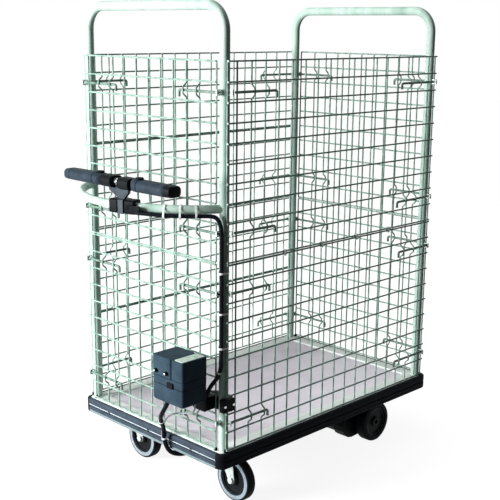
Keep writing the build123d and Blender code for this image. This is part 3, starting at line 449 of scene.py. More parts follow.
# %% Wall places
wire_r = 2.25
wire_reach = wire_r / cos(pi / 6)
weld_gap = 0.05
post_n = tube_r + play + wire_r
rail_n = post_n + 2 * wire_r + weld_gap
bolt_r = 3.5
bolt_n = post_n + wire_r + play + bolt_r
bulge_n = bolt_n + bolt_r + play + wire_r
bulge_foot = 18.0
bulge_flat = 8.0
post_pitch = 50.0
bolt_length = 150.0
bolt_back = 16.0
bolt_throw = 18.0
bolt_row = 1.5
guide_inner = 25.0
guide_outer = 50.0
weld_r = 2.7
lower_z = node_box("near_lower_panel")[0].z + wire_reach
upper_z = node_box("near_gate")[0].z + wire_reach
panel_height = node_box("near_gate")[1].z - upper_z - wire_reach
cell_rows = 10
rail_pitch = panel_height / cell_rows
walls = {
    "near": (X * deck_x - Y * leg_y, X, -Y, leg_x),
    "far": (X * deck_x + Y * leg_y, -X, Y, leg_x),
    "rear": (X * rear_x, -Y, -X, leg_y),
    "front": (X * front_x, Y, X, leg_y),
}


def on_wall(wall, u, n, z):
    """A point of a wall: u along it, n outward from the line of the legs, z up."""
    origin, along, outward, _ = walls[wall]
    return origin + along * u + outward * n + Z * z


def half_length(node):
    """From the middle of a panel to its edge posts."""
    low, high = node_box(node)
    size = high - low
    return max(size.x, size.y) / 2 - wire_reach


def bolt_heights(bottom):
    """Heights of the two bolts at each end of a panel."""
    return bottom + bolt_row * rail_pitch, bottom + panel_height - bolt_row * rail_pitch


print("rails", round(rail_pitch, 1), "mm apart from", round(lower_z), "mm up")


# %% Weld spots
def spot_tree():
    """Points in, small round welds out."""
    tree, given = open_tree("weld_spots", {"Radius": "NodeSocketFloat", "Finish": "NodeSocketMaterial"})
    ball = {"Segments": 8, "Rings": 5, "Radius": given["Radius"]}
    blob = add_node(tree, "GeometryNodeMeshUVSphere", None, ball).outputs["Mesh"]
    spots = {"Points": given["Geometry"], "Instance": blob}
    placed = add_node(tree, "GeometryNodeInstanceOnPoints", None, spots).outputs["Instances"]
    return close_tree(tree, placed, given["Finish"])


weld_spots = spot_tree()


# %% One panel
def panel(node, wall, body, bottom, doubled=False, open_row=None):
    """One welded panel with its bulged guide posts and its welds."""
    half = half_length(node)
    top = bottom + panel_height
    rows = [bottom + i * rail_pitch for i in range(cell_rows + 1)]
    rails = list(rows)
    if doubled:
        rails.append(rows[cell_rows // 2] - 2 * wire_r - weld_gap)
    count = int((half - post_pitch / 2) // post_pitch)
    posts = [post_pitch * i for i in range(-count, count + 1)]
    tip = walls[wall][3] - bolt_back
    guides = [u for u in posts if tip - bolt_length + guide_inner < abs(u) < tip - guide_outer]
    paths = [[on_wall(wall, u, rail_n, z) for u in (-half - wire_r, half + wire_r)] for z in rails]
    for u in posts:
        line = [(post_n, bottom)]
        if u in guides:
            for z in bolt_heights(bottom):
                line += [(post_n, z - bulge_foot), (bulge_n, z - bulge_flat)]
                line += [(bulge_n, z + bulge_flat), (post_n, z + bulge_foot)]
        line.append((post_n, top))
        paths.append([on_wall(wall, u, n, z) for n, z in line])
    spans = [(bottom, top)]
    if open_row is not None:
        spans = [(bottom, rows[open_row]), (rows[open_row + 1], top)]
    for u in (-half, half):
        for span in spans:
            paths.append([on_wall(wall, u, post_n, z) for z in span])
    wires = bars(paths, wire_r, zinc_wire, sides=10, bend=5.0, steps=4)
    weld_n = (post_n + rail_n) / 2
    crossings = [on_wall(wall, u, weld_n, z) for u in posts + [-half, half] for z in rows]
    welds = grow(weld_spots, crossings, [], {"Radius": weld_r * MM, "Finish": zinc_wire})
    fit(piece(node + "_wires", joined(wires, welds)), body, replaces=node)


# %% Build the panels
bow_low, bow_high = node_box("bow_handle")
bow_z = (bow_low.z + bow_high.z) / 2
bow_row = int((bow_z - upper_z) // rail_pitch)
panel("near_lower_panel", "near", "cart", lower_z)
panel("near_gate", "near", "gate", upper_z)
panel("far_lower_panel", "far", "cart", lower_z, doubled=True)
panel("far_upper_panel", "far", "cart", upper_z, doubled=True)
panel("rear_lower_panel", "rear", "cart", lower_z)
panel("rear_upper_panel", "rear", "cart", upper_z, open_row=bow_row)
panel("front_lower_panel", "front", "cart", lower_z)
panel("front_upper_panel", "front", "cart", upper_z)
print("eight panels of", cell_rows, "rows")

# %% [markdown]
# ## Slide bolts, keepers and hinge rings
# A bolt is a round pin whose inner end is bent down for the finger. The eight on the near side slide
# one by one, so each is its own piece on its own body; the others hold their walls and share one mesh.
# The straps that the bolts enter and the rings of the gate are pressed or turned, and the packed
# pieces have their shape already, so they only get softer edges and a finish.

# %% Bolts
finger_drop = 17.0


def bolt_path(wall, side, z, tip):
    """The line of one bolt, from its tip to the end of its bent finger."""
    bend = side * (tip - bolt_length + bolt_r)
    line = [(side * tip, z), (bend, z), (bend, z - finger_drop)]
    return [on_wall(wall, u, bolt_n, height) for u, height in line]


def pins(paths):
    """Bolts along their lines."""
    return bars(paths, bolt_r, zinc_pin, sides=16, bend=6.0)


for row, bottom, shift in (("gate", upper_z, 0.0), ("panel", lower_z, bolt_throw)):
    for level, z in zip(("low", "high"), bolt_heights(bottom)):
        for hand, side in (("rear", -1), ("front", 1)):
            node = f"{row}_bolt_{level}_{hand}"
            line = bolt_path("near", side, z, leg_x - bolt_back + shift)
            fit(piece(node + "_pin", pins([line])), node, replaces=node)

held = []
for wall in ("far", "rear", "front"):
    for bottom in (lower_z, upper_z):
        for z in bolt_heights(bottom):
            for side in (-1, 1):
                held.append(bolt_path(wall, side, z, walls[wall][3] - bolt_back + bolt_throw))
fit(piece("wall_bolt_pins", pins(held)), "cart", replaces="wall_bolts")
print(len(held), "fixed bolts and 8 moving ones")


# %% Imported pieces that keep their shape
def keep(node, material, round_mm):
    """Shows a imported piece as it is, with its edges softened and a real finish."""
    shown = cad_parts[node]
    for place in shown.material_slots:
        place.material = material
    weld = shown.modifiers.new("join faces", "WELD")
    weld.merge_threshold = 0.02 * MM
    soften(shown, round_mm, 2)


keep("bolt_keepers", zinc_pressing, 0.5)
keep("hinge_rings", zinc_pressing, 0.4)

# %% [markdown]
# ## Tube frames and the bow handle
# Each end of the cage is one tube bent twice. The bow is a flat arc welded to the two rear legs. All
# three are bars along a guide line: the frames round their corners in the tree, and the bow's line is
# a formula.

# %% Tubes
bend_radius = 62.0
for node, x in (("rear_frame", rear_x), ("front_frame", front_x)):
    path = [(x, -leg_y, leg_foot), (x, -leg_y, frame_z), (x, leg_y, frame_z), (x, leg_y, leg_foot)]
    tube = bars([path], tube_r, zinc_tube, sides=32, bend=bend_radius, steps=14)
    fit(piece(node + "_tube", tube), "cart", replaces=node)

bow_r = (bow_high.z - bow_low.z) / 2
bow_rise = rear_x - bow_low.x - bow_r
bow_radius = (leg_y**2 + bow_rise**2) / (2 * bow_rise)
bow_centre = rear_x - bow_rise + bow_radius


def bow_x(y):
    """Where the bow runs at a place across the cart."""
    return bow_centre - sqrt(bow_radius**2 - y**2)


def bow_outward(y):
    """The level way out from the bow's centre at a place across the cart."""
    return Vector((bow_x(y) - bow_centre, y, 0)).normalized()


bow_steps = 48
bow_path = []
for i in range(bow_steps + 1):
    y = leg_y * (2 * i / bow_steps - 1)
    bow_path.append((bow_x(y), y, bow_z))
tube = bars([bow_path], bow_r, zinc_tube, sides=28, bend=0.0, steps=1)
fit(piece("bow_handle_tube", tube), "cart", replaces="bow_handle")
print("bow radius", round(bow_radius), "mm")

# %% [markdown]
# ## Deck
# The deck is one pressed tray: a skirt, a raised rim with rolled edges and a sunken floor. Its
# cross-section is walked round the plan as rings, from the underside over the rim to the floor, so the
# rolled edge is the same all round.

# %% Deck
deck_corner = 14.0
skirt_z = deck_low.z
sheet = 3.0
edge_roll = 5.0
rim_width = 45.0
floor_z = deck_top - 4.0
floor_area = 0.1


def plan_ring(inset, z, corner=None):
    """The deck's plan, moved in from its edge, as a ring at a height."""
    radius = max(deck_corner - inset, 4.0) if corner is None else corner
    flat = rounded(deck_length - 2 * inset, deck_width - 2 * inset, radius)
    return [(deck_x + a, b, z) for a, b in flat]


def arc(centre_inset, centre_z, radius, start, end, steps=5):
    """Insets and heights along a rolled edge, angles in degrees from outward."""
    turns = [radians(start + (end - start) * i / steps) for i in range(steps + 1)]
    return [(centre_inset - radius * cos(t), centre_z + radius * sin(t)) for t in turns]


skirt_profile = [(sheet, deck_top - 7), (sheet, skirt_z), (0, skirt_z)]
skirt_profile += arc(edge_roll, deck_top - edge_roll, edge_roll, 0, 90)
floor_profile = [(rim_width - 6.0, deck_top), (rim_width - 2.5, deck_top - 0.6)]
floor_profile += [(rim_width - 0.8, floor_z + 0.8), (rim_width + 1.5, floor_z)]
tray_rings = [plan_ring(inset, z) for inset, z in skirt_profile]
tray_rings += [plan_ring(inset, z, deck_corner) for inset, z in floor_profile]
tray = painted(loft([tray_rings]), rim_coat)
tray.materials.append(deck_coat)
for face in tray.polygons:
    if face.center.z < (floor_z + 0.5) * MM and face.area > floor_area:
        face.material_index = 1
fit(piece("deck_tray", tray), "cart", replaces="deck")
keep("deck_channels", black_paint, 0.6)
print("deck", round(deck_length), "by", round(deck_width), "mm")

# %% [markdown]
# ## Bumper and panel feet
# The rubber bumper is a closed section round the same plan, with a groove along it and screws just
# above the groove. Its end faces are painted lighter as lit faces, with a painted highlight line
# above the groove and a paler painted strip along the lower edge. Small black feet stand under the lower
# panels.

# %% Bumper
bumper_low, bumper_high = node_box("bumper")
bumper_wall = deck_low.x - bumper_low.x
outer = -bumper_wall
inner = -0.05
top_z = bumper_high.z
base_z = bumper_low.z
groove_half = 2.0
groove_depth = 3.0
lip_round = 0.8
lip_z = (base_z + top_z) / 2 + groove_half
under_lip_z = lip_z - 2 * groove_half
line_height = 2.8
strip_z = base_z + 9.0
strip_groove = 1.6
bumper_profile = [(inner, top_z), (outer + 4, top_z), (outer + 1.2, top_z - 1.2), (outer, top_z - 4)]
bumper_profile += [(outer, lip_z + line_height), (outer, lip_z + lip_round), (outer + lip_round, lip_z)]
bumper_profile += [(outer + groove_depth, lip_z), (outer + groove_depth, under_lip_z)]
bumper_profile += [(outer + lip_round, under_lip_z), (outer, under_lip_z - lip_round), (outer, strip_z)]
bumper_profile += [(outer + strip_groove, base_z + 7.5), (outer + strip_groove, base_z + 6.5)]
bumper_profile += [(outer, base_z + 5), (outer + 1.2, base_z + 1.2), (outer + 4, base_z), (inner, base_z)]
rings = [plan_ring(inset, z, deck_corner - inset) for inset, z in bumper_profile]
band = painted(loft([rings], caps=False, loop=True), bumper_rubber)
for material in (bumper_lit_end, bumper_lit_lower_strip, bumper_painted_highlight):
    band.materials.append(material)
# Painted light on the end faces only: a lighter lit tone, a paler lower strip and a highlight line over
# the groove
for face in band.polygons:
    spot = face.center / MM
    if abs(spot.y) < 1.0 and abs(spot.x - deck_x) > deck_length / 2:
        if lip_z + 0.1 < spot.z < lip_z + line_height:
            face.material_index = 3
        else:
            face.material_index = 2 if spot.z < strip_z else 1
fit(piece("bumper_band", band), "cart", replaces="bumper")
print("bumper", round(top_z - base_z), "mm high")

# %% Bumper screws and panel feet
screw_r = 4.5
screw_y = node_box("bumper_screws")[1].y - screw_r
screw_z = lip_z + 1.0
screw_profile = [(-2.5, screw_r), (0.1, screw_r), (0.3, 4.0), (0.3, 1.6), (-0.6, 1.4)]
screws = []
for end in (-1, 1):
    for y in (-screw_y, 0, screw_y):
        place = (deck_x + end * (deck_length / 2 + bumper_wall), y, screw_z)
        screws.append(lathe(screw_profile, place, X * end, 24))
made = piece("bumper_screw_heads", loft(screws), black_paint)
fit(made, "cart", replaces="bumper_screws")

foot_profile = [(0, 4.6), (5, 4.6), (7, 3.6), (9, 2.6)]
feet = []
for wall in walls:
    half = half_length(wall + "_lower_panel")
    for u in (-half, half):
        feet.append(lathe(foot_profile, on_wall(wall, u, post_n, deck_top), Z, 20))
fit(piece("panel_feet", loft(feet), black_abs), "cart")
print(len(screws), "bumper screws and", len(feet), "feet under the panels")

# %% [markdown]
# ## Handle unit
# Two grips turn a few degrees on upright pins, and sensors in the collars read the push. Each grip is
# a soft overmould with a round inner end, a parting groove and an end cap, made as rings along its
# length.

# %% Grips
grip_corner = 13.0
cap_corner = 12.0
nose_steps = 8


def grip_ring(x, y, z, depth, thick, corner):
    """A section across a grip, upright, with round corners."""
    return [(x + a, y, z + b) for a, b in rounded(depth, thick, corner)]


grip_sizes = {}
for node, side, cap in (("grip_left", 1, grip_slate), ("grip_right", -1, black_abs)):
    low, high = node_box(node)
    x = (low.x + high.x) / 2
    z = (low.z + high.z) / 2
    depth = high.x - low.x
    thick = high.z - low.z
    start, end = (low.y, high.y) if side > 0 else (high.y, low.y)
    length = abs(end - start)
    stations = []
    for i in range(nose_steps + 1):
        turn = radians(90 * (1 - i / nose_steps))
        stations.append((depth / 2 * (1 - sin(turn)), max(cos(turn), 0.08), 1.0))
    stations += [(30, 1.0, 1.0), (31, 0.94, 0.94), (33, 0.94, 0.94), (34, 1.0, 1.0)]
    stations += [(length - 25, 0.97, 0.97), (length - 24, 0.92, 0.92), (length - 22, 0.92, 0.92)]
    body_rings = []
    for s, wide, tall in stations:
        corner = grip_corner * min(wide, tall)
        body_rings.append(grip_ring(x, start + side * s, z, depth * wide, thick * tall, corner))
    cap_stations = [(length - 22, 0.9), (length - 21, 0.95), (length - 3, 0.93)]
    cap_stations += [(length - 0.8, 0.9), (length, 0.84)]
    cap_rings = []
    for s, share in cap_stations:
        corner = cap_corner * share
        cap_rings.append(grip_ring(x, start + side * s, z, depth * share, thick * share, corner))
    screw = lathe([(-1.0, 3.0), (-0.4, 3.0), (-0.2, 2.4)], (x, end, z), Y * side, 20)
    whole = joined(
        painted(loft([body_rings]), grip_slate),
        painted(loft([cap_rings]), cap),
        painted(loft([screw]), bright_alloy),
    )
    body = "left_grip" if side > 0 else "right_grip"
    fit(piece(node + "_overmould", whole), body, replaces=node)
    grip_sizes[side] = (x, start, z, depth, thick)
print("grips at", round(z), "mm,", round(length), "mm long")

# %% Collars, pins and bar
x, left_start, grip_z, depth, thick = grip_sizes[1]
handle_y = (left_start + grip_sizes[-1][1]) / 2
collar_length = 44.0
pin_profile = [(-thick, 4), (0, 4), (0, 11), (3.5, 11), (5, 9.5), (5, 4), (4.2, 3.6)]
collars = []
caps = []
for side in (1, -1):
    face_y = grip_sizes[side][1] - side * play
    ends = (face_y, face_y - side * collar_length)
    collars.append([grip_ring(x, y, grip_z, depth, thick, grip_corner) for y in ends])
    pivot = (x, face_y + side * (play + depth / 2), grip_z + thick / 2 + play)
    caps.append(lathe(pin_profile, pivot, Z, 40))
made = soften(piece("grip_collar_blocks", loft(collars), black_abs), 2.0)
fit(made, "cart", replaces="grip_collars")
fit(piece("grip_pivot_caps", loft(caps), black_abs), "cart", replaces="grip_pins")
core_low, core_high = node_box("handle_core")
core_r = (core_high.z - core_low.z) / 2
core = lathe([(core_low.y, core_r), (core_high.y, core_r)], (x, 0, grip_z), Y, 36)
made = piece("handle_core_bar", loft([core]), bright_alloy)
fit(made, "cart", replaces="handle_core")
keep("handle_bracket", cast_alloy, 0.8)
print("bar", round(2 * core_r), "mm thick between the collars")

# %% Clamps on the bow
clamp_size = 36.0
clamp_length = 26.0
clamp_pitch = 23.0
saddle_y = handle_y - clamp_pitch / 2
lever_y = saddle_y - clamp_pitch
stud_profile = [(0, 4), (clamp_size / 2 + 5, 4), (clamp_size / 2 + 6, 3)]
clamps = []
for y in (saddle_y + clamp_pitch, lever_y):
    outward = bow_outward(y)
    tangent = outward.cross(Z)
    on_bow = Vector((bow_x(y), y, bow_z))
    start = on_bow - tangent * clamp_length / 2
    flat = rounded(clamp_size, clamp_size, 6.0)
    clamps.append(prism(flat, start, outward, Z, clamp_length))
    if y == lever_y:
        clamps.append(lathe(stud_profile, on_bow, outward, 24))
made = soften(piece("tube_clamp_blocks", loft(clamps), black_abs), 1.6)
fit(made, "cart", replaces="tube_clamps")
keep("clamp_lever", black_abs, 1.2)
print("clamps at", round(saddle_y + clamp_pitch), "and", round(lever_y), "mm across")

# %% [markdown]
# ## Control box and battery
# The housing is a base with a tall column on the near side. The battery's stem drops into the well
# beside the column, and a small latch holds it. Each is an outline with round corners pushed up. A
# narrow gap and a groove below it are cut all round, where real mouldings part. Their faces and a
# block set inside the gap are painted black as painted shade.

# %% Housing
box_low, box_high = node_box("control_box")
pack_low, pack_high = node_box("battery_pack")
box_x = (box_low.x + box_high.x) / 2
box_y = (box_low.y + box_high.y) / 2
box_depth = box_high.x - box_low.x
box_width = box_high.y - box_low.y
box_bottom = box_low.z
base_corner = 7.0
block_corner = 6.0
inner_corner = 2.0
inner_wall = 6.0
seam_z = box_high.z - 54.0
seam_gap = 1.6
split_z = seam_z - 20.0
split_depth = 0.5
column_edge = pack_low.y - 0.6
column_y = (box_low.y + column_edge) / 2
column_width = column_edge - box_low.y
pack_y = (pack_low.y + pack_high.y) / 2
pack_width = pack_high.y - pack_low.y


def level_ring(flat, y, z):
    """A flat outline of the box laid level at a height."""
    return spread(flat, (box_x, y, z), X, Y)


def upright(flat, y, low_z, high_z):
    """An outline of the box pushed up from one height to another."""
    return prism(flat, (box_x, y, low_z), X, Y, high_z - low_z)


base_profile = [(7.0, box_bottom), (3.6, box_bottom + 0.9), (0.9, box_bottom + 3.6)]
base_profile += [(0.0, box_bottom + 7.0), (0.0, split_z - 0.9), (split_depth, split_z - 0.2)]
base_profile += [(split_depth, split_z + 0.2), (0.0, split_z + 0.9), (0.0, seam_z)]
base = []
for inset, z in base_profile:
    flat = rounded(box_depth - 2 * inset, box_width - 2 * inset, base_corner)
    base.append(level_ring(flat, box_y, z))
stem = rounded(box_depth - 2 * inner_wall, pack_width - 2 * inner_wall, inner_corner)
well = [(a * 1.008, b * 1.01) for a, b in stem]
base += [level_ring(well, pack_y, z) for z in (seam_z, pack_low.z - 3.0)]
flat = rounded(box_depth, column_width, block_corner)
column = upright(flat, column_y, seam_z + seam_gap, box_high.z)
flat = rounded(box_depth - 2 * inner_wall, column_width - 2 * inner_wall, inner_corner)
gap_shade_block = upright(flat, column_y, seam_z - 1.0, seam_z + 3.0)
housing = painted(loft([base, column, gap_shade_block]), slate_abs)
# Painted shade: the faces of the groove and of the block in the gap are painted black, so both seams read
# as shadow lines
housing.materials.append(black_abs)
for face in housing.polygons:
    height = face.center.z / MM
    if min(abs(height - split_z), abs(height - seam_z - 1.0)) < 0.7:
        face.material_index = 1
made = soften(piece("control_box_housing", housing), 1.5)
fit(made, "cart", replaces="control_box")
print("box", round(box_depth), "by", round(box_width), "mm, seam at", round(seam_z), "mm")

# %% Battery, latch, plate and lens
peg_profile = [(0, 5.4), (6.2, 5.4), (7.4, 4.6)]
tip_profile = [(7.3, 3.0), (8.2, 3.0), (8.9, 2.2)]
head = upright(rounded(box_depth, pack_width, block_corner), pack_y, seam_z + seam_gap, pack_high.z)
neck = upright(stem, pack_y, pack_low.z, seam_z + 2.0)
pegs = []
tips = []
for offset in (-21.0, 20.0):
    place = (box_low.x, pack_y + offset, seam_z + 14.0)
    pegs.append(lathe(peg_profile, place, -X, 24))
    tips.append(lathe(tip_profile, place, -X, 20))
whole = joined(
    painted(loft([head]), slate_abs),
    painted(loft([neck] + pegs), black_abs),
    painted(loft(tips), bright_alloy),
)
made = soften(piece("battery_pack_case", whole), 1.5)
fit(made, "battery", replaces="battery_pack")
keep("battery_latch", black_abs, 0.8)
keep("indicator_plate", plate_film, 0.5)
plate_low, plate_high = node_box("indicator_plate")
lens_shift = 14.0
lens_profile = [(-0.2, 6.0), (0.5, 6.0), (0.8, 5.2), (0.8, 4.0), (0.3, 3.6)]
plate_middle = (plate_low + plate_high) / 2
place = (plate_middle.x + lens_shift, plate_middle.y, plate_high.z)
lens = lathe(lens_profile, place, Z, 32)
fit(piece("indicator_lens", loft([lens]), lens_green), "cart")
print("battery", round(pack_high.z - pack_low.z), "mm high with its stem")

# %% Arm and its clamp on the leg
keep("box_arm", black_abs, 1.0)
arm_low, arm_high = node_box("box_arm")
arm_top = arm_high.z - 19.0
cap_depth = 17.0
cap_height = arm_top - arm_low.z - 2.0
cap_foot = (rear_x - 1.0, -leg_y - tube_r - 2.0, arm_low.z + 1.0)
flat = rounded(2 * tube_r + 15.0, cap_depth, 3.0)
cap = prism(flat, cap_foot, X, Y, cap_height)
cap_screw = [(-0.5, 3.6), (1.6, 3.6), (2.4, 2.8), (2.4, 1.4), (1.4, 1.2)]
screws = []
for offset in (-15.0, 15.0):
    place = (cap_foot[0] + offset, cap_foot[1] - cap_depth / 2, cap_foot[2] + cap_height / 2)
    screws.append(lathe(cap_screw, place, -Y, 20))
whole = joined(painted(loft([cap]), black_abs), painted(loft(screws), bright_alloy))
fit(soften(piece("box_arm_cap", whole), 1.2), "cart")
keep("hex_bolts", zinc_pressing, 0.6)
print("arm clamp", round(cap_height), "mm high with", len(screws), "screws")

# %% [markdown]
# ## Cables
# The loom from the grips runs along the bow and down the leg to the box. A conduit and a thin signal
# lead leave the box, lie over the bumper and go into the channel under the deck. Each is one smooth
# spline through its route, because a cord under its own weight has no corners.


# %% Ties and cords
def bands(name, line, radius, heights):
    """White ties round a cord where its fall passes the given heights."""
    run = [v.co / MM for v in plain_mesh(add_object("guide", line)).vertices]
    profile = [(-2.2, radius), (-2.2, radius + 1.4), (2.2, radius + 1.4), (2.2, radius)]
    rings = []
    for height in heights:
        i = next(i for i, p in enumerate(run) if p.z < height)
        rings.append(lathe(profile, run[i], run[i + 1] - run[i - 1], 28))
    return fit(piece(name, loft(rings, caps=False, loop=True), white_nylon), "cart")


def cable(name, node, route, radius, length, material, tied=()):
    """One cord as a smooth spline with a round section, and the ties on it."""
    line = bpy.data.curves.new(name, "CURVE")
    line.dimensions = "3D"
    line.resolution_u = 10
    spline = line.splines.new("NURBS")
    spline.points.add(len(route) - 1)
    for point, place in zip(spline.points, route):
        point.co = [x * MM for x in place] + [1]
    spline.order_u = 3
    spline.use_endpoint_u = True
    on_cord = [bands(name + "_ties", line, radius, tied)] if tied else []
    line.bevel_depth = radius * MM
    line.bevel_resolution = 5
    line.use_fill_caps = True
    line.materials.append(material)
    made = fit(add_object(name, line), "cart", replaces=node)
    print(name, length, "mm")


# %% Handle loom
def under_bow(y):
    """A place on the outer underside of the bow where the loom is tied."""
    return Vector((bow_x(y), y, bow_z - 14.8)) + bow_outward(y) * 12.0


arm_y = -leg_y + 43.0
loom_x = rear_x - 17.0
loom_y = -leg_y - 8.4
outward = bow_outward(lever_y)
toward_near = Vector((-outward.y, outward.x, 0))
loom_start = Vector((bow_x(lever_y), lever_y, bow_z - 12.0)) + outward * 12.0
loom_start += toward_near * (clamp_length / 2)
cable(
    "handle_loom_cable",
    "handle_loom",
    [
        loom_start,
        loom_start + toward_near * 30,
        under_bow(-leg_y + 98),
        under_bow(-leg_y + 67),
        under_bow(-leg_y + 40),
        under_bow(-leg_y + 14),
        (rear_x - 23, -leg_y - 6, bow_z - 27),
        (rear_x - 18, -leg_y - 9.5, bow_z - 52),
        (loom_x, loom_y, bow_z - 114),
        (loom_x - 0.4, loom_y - 0.4, bow_z - 220),
        (loom_x, loom_y, bow_z - 324),
        (rear_x - 18, -leg_y - 9, bow_z - 395),
        (rear_x - 18, -leg_y - 8.5, arm_top + 84),
        (rear_x - 21, -leg_y + 1, arm_top + 56),
        (box_high.x + 15, arm_y - 21, arm_top + 26),
        (box_high.x + 12.5, arm_y - 12.5, arm_top + 0.3),
    ],
    5.5,
    697,
    black_jacket,
    (arm_top + 74,),
)

# %% Conduit and signal lead
edge_x = bumper_low.x
gland_low, gland_high = node_box("cable_glands")
lead_end = gland_low.x - 0.05
gland_z = (gland_low.z + gland_high.z) / 2
cable(
    "power_conduit_cable",
    "power_conduit",
    [
        (box_x - 3, box_y + 39, box_bottom),
        (box_x - 4, box_y + 44, box_bottom - 22),
        (box_x - 9, box_y + 62, box_bottom - 52),
        (box_x + 6, box_y + 88, box_bottom - 82),
        (edge_x - 18, -92, deck_top + 20),
        (edge_x - 14, -87, deck_top - 20),
        (edge_x - 7, -102, base_z - 8),
        (edge_x + 26, -122, base_z - 17),
        (lead_end - 30, -126, base_z - 8),
        (lead_end - 12, -128, gland_z),
        (lead_end, -128, gland_z),
    ],
    6.0,
    342,
    black_jacket,
    (deck_top + 53, deck_top - 9),
)
cable(
    "signal_lead_cable",
    "signal_lead",
    [
        (box_x + 17, box_y - 41, box_bottom),
        (box_x + 17, box_y - 41, box_bottom - 32),
        (box_x + 23, box_y + 14, box_bottom - 47),
        (box_x + 27, box_y + 74, box_bottom - 68),
        (edge_x - 12, -81, deck_top + 30),
        (edge_x - 9, -69, deck_top - 17),
        (edge_x - 5, -88, base_z - 6),
        (edge_x + 26, -104, base_z - 14),
        (lead_end - 34, -103, base_z - 9),
        (lead_end - 12, -104, gland_z),
        (lead_end, -104, gland_z),
    ],
    2.5,
    406,
    grey_jacket,
)
keep("cable_ties", white_nylon, 0.4)
keep("cable_glands", black_abs, 0.8)

# %% [markdown]
# ## Running gear
# Two casters swivel at the operator's end and two motor wheels drive the other. Wheels are turned
# shapes: a tyre with round shoulders on a dished core with a boss. Forks, axles, plates and motors
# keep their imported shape.

# %% Wheels
wheel_rim = 46.0
tread_depth = 4.5


def wheel(prefix, body, axis, tyre):
    """Tyre and core of one wheel."""
    low, high = node_box(prefix + "_tyre")
    centre = (low + high) / 2
    half = abs((high - low).dot(axis)) / 2
    radius = (high.z - low.z) / 2
    shoulder = [(-half, wheel_rim), (-half, wheel_rim + 5), (-half + 0.6, radius - half / 4 - 2.5)]
    shoulder += [(-half + 1.6, radius - 2.2), (-half + 3.6, radius - 0.7), (-half + 6.5, radius)]
    shoulder += [(-a, r) for a, r in reversed(shoulder)]
    rubber = loft([lathe(shoulder, centre, axis, 96)], caps=False, loop=True)
    painted(rubber, tyre).materials.append(black_tyre)
    for face in rubber.polygons:
        reach = face.center / MM - centre
        if (reach - axis * reach.dot(axis)).length > radius - tread_depth:
            face.material_index = 1
    fit(piece(prefix + "_tread", rubber), body, replaces=prefix + "_tyre")
    dish = [(-half, 7.0), (-half, 14.0), (-half + 1, 15.0), (-half + 8, 16.5), (-half + 8.7, 18.0)]
    dish += [(-half + 8.7, 37.0), (-half + 8, 39.0), (-half + 4, 40.0)]
    dish += [(-half + 3.5, 41.0), (-half + 3.5, wheel_rim - 0.1)]
    dish += [(-a, r) for a, r in reversed(dish)]
    hub = loft([lathe(dish, centre, axis, 72)], caps=False, loop=True)
    fit(piece(prefix + "_core", hub, hub_plastic), body, replaces=prefix + "_hub")
    print(prefix, "wheel", round(2 * radius), "mm")


for hand in ("near", "far"):
    wheel(f"{hand}_caster", f"{hand}_caster_wheel", X, grey_tyre)
    wheel(f"{hand}_drive", f"{hand}_drive_wheel", Y, black_tyre)
    keep(f"{hand}_caster_fork", zinc_pressing, 0.6)
    keep(f"{hand}_caster_axle", zinc_pressing, 0.6)
keep("caster_plates", zinc_pressing, 0.6)
keep("drive_brackets", black_paint, 0.8)
keep("gear_motors", black_paint, 1.0)

# %% [markdown]
# ## Stage, light and camera
# The cart stands on a plain pale floor in soft light that comes mostly from the handle end. The floor
# and the world are white to the camera and to reflections, and the floor still takes a soft shadow.


# %% World
def seen(tree):
    """One for rays from the camera, a reflection or a glass, and nothing for the rest."""
    rays = add_node(tree, "ShaderNodeLightPath").outputs
    most = {"operation": "MAXIMUM"}
    pair = {0: rays["Is Camera Ray"], 1: rays["Is Glossy Ray"]}
    either = add_node(tree, "ShaderNodeMath", most, pair).outputs[0]
    all_three = {0: either, 1: rays["Is Transmission Ray"]}
    return add_node(tree, "ShaderNodeMath", most, all_three).outputs[0]


ambient = 0.03
scene.world = bpy.data.worlds.new("studio")
scene.world.use_nodes = True
tree = scene.world.node_tree
backdrop = {"Value": seen(tree), "To Min": ambient, "To Max": 1.0}
strength = add_node(tree, "ShaderNodeMapRange", None, backdrop).outputs["Result"]
tree.nodes["Background"].inputs["Color"].default_value = (1, 1, 1, 1)
tree.links.new(strength, tree.nodes["Background"].inputs["Strength"])
print("ambient light", ambient)

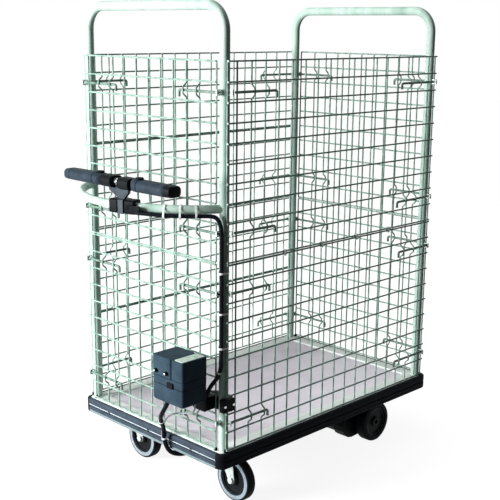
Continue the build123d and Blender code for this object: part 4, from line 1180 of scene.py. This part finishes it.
# %% Floor
floor_size = 30.0
floor_paint = bpy.data.materials.new("studio_floor")
floor_paint.use_nodes = True
tree = floor_paint.node_tree
tree.nodes.remove(tree.nodes["Principled BSDF"])
matt = add_node(tree, "ShaderNodeBsdfDiffuse", None, {"Color": (0.18, 0.18, 0.18, 1)})
place = add_node(tree, "ShaderNodeTexCoord").outputs["Object"]
away = add_node(tree, "ShaderNodeVectorMath", {"operation": "LENGTH"}, {0: place}).outputs["Value"]
fade = {"Value": away, "From Min": 0.2, "From Max": 0.9, "To Min": 0.88, "To Max": 1.0}
white = add_node(tree, "ShaderNodeMapRange", None, fade).outputs["Result"]
glow = add_node(tree, "ShaderNodeMath", {"operation": "MULTIPLY"}, {0: seen(tree), 1: white}).outputs[0]
light = add_node(tree, "ShaderNodeEmission", None, {"Color": (1, 1, 1, 1), "Strength": glow})
both = add_node(tree, "ShaderNodeAddShader", None, {0: matt.outputs[0], 1: light.outputs[0]})
tree.links.new(both.outputs[0], tree.nodes["Material Output"].inputs["Surface"])
half = floor_size / 2
floor_mesh = bpy.data.meshes.new("floor")
corners = [(-half, -half, 0), (half, -half, 0), (half, half, 0), (-half, half, 0)]
floor_mesh.from_pydata(corners, [], [(0, 1, 2, 3)])
floor_mesh.materials.append(floor_paint)
floor = add_object("floor", floor_mesh)
print("floor", floor_size, "m wide")


# %% Lamps
def lamp(name, place, target, size, power):
    """A soft square lamp that faces a point; places and size in metres, power in watts."""
    data = bpy.data.lights.new(name, "AREA")
    data.size = size
    data.energy = power
    made = add_object(name, data)
    made.location = place
    made.rotation_euler = (target - Vector(place)).to_track_quat("-Z", "Y").to_euler()
    print(name, "lamp", power, "W")


cart_middle = (cad_box[0] + cad_box[1]) / 2
lamp("key", (-3.0, 1.2, 1.2), cart_middle, 1.4, 235)
lamp("top", (0.3, 0.4, 3.6), cart_middle, 2.0, 34)

# %% Camera
camera_place = Vector((-2.0303, -2.0340, 1.2748))
look_turn = radians(44.81)
look_drop = radians(12.69)
roll = radians(0.59)
image_px = 500
focal_px = 988.7
ahead = Vector((cos(look_turn) * cos(look_drop), sin(look_turn) * cos(look_drop), -sin(look_drop)))
sideways = ahead.cross(Z).normalized()
above = sideways.cross(ahead)
right = sideways * cos(roll) + above * sin(roll)
up = above * cos(roll) - sideways * sin(roll)
camera_data = bpy.data.cameras.new("camera")
camera_data.sensor_width = 36.0
camera_data.lens = camera_data.sensor_width * focal_px / image_px
camera = add_object("camera", camera_data)
turned = Matrix((right, up, -ahead)).transposed().to_4x4()
camera.matrix_world = Matrix.Translation(camera_place) @ turned
scene.camera = camera
print("camera lens", round(camera_data.lens, 1), "mm")

# %% Last update of the scene
bpy.context.view_layer.update()
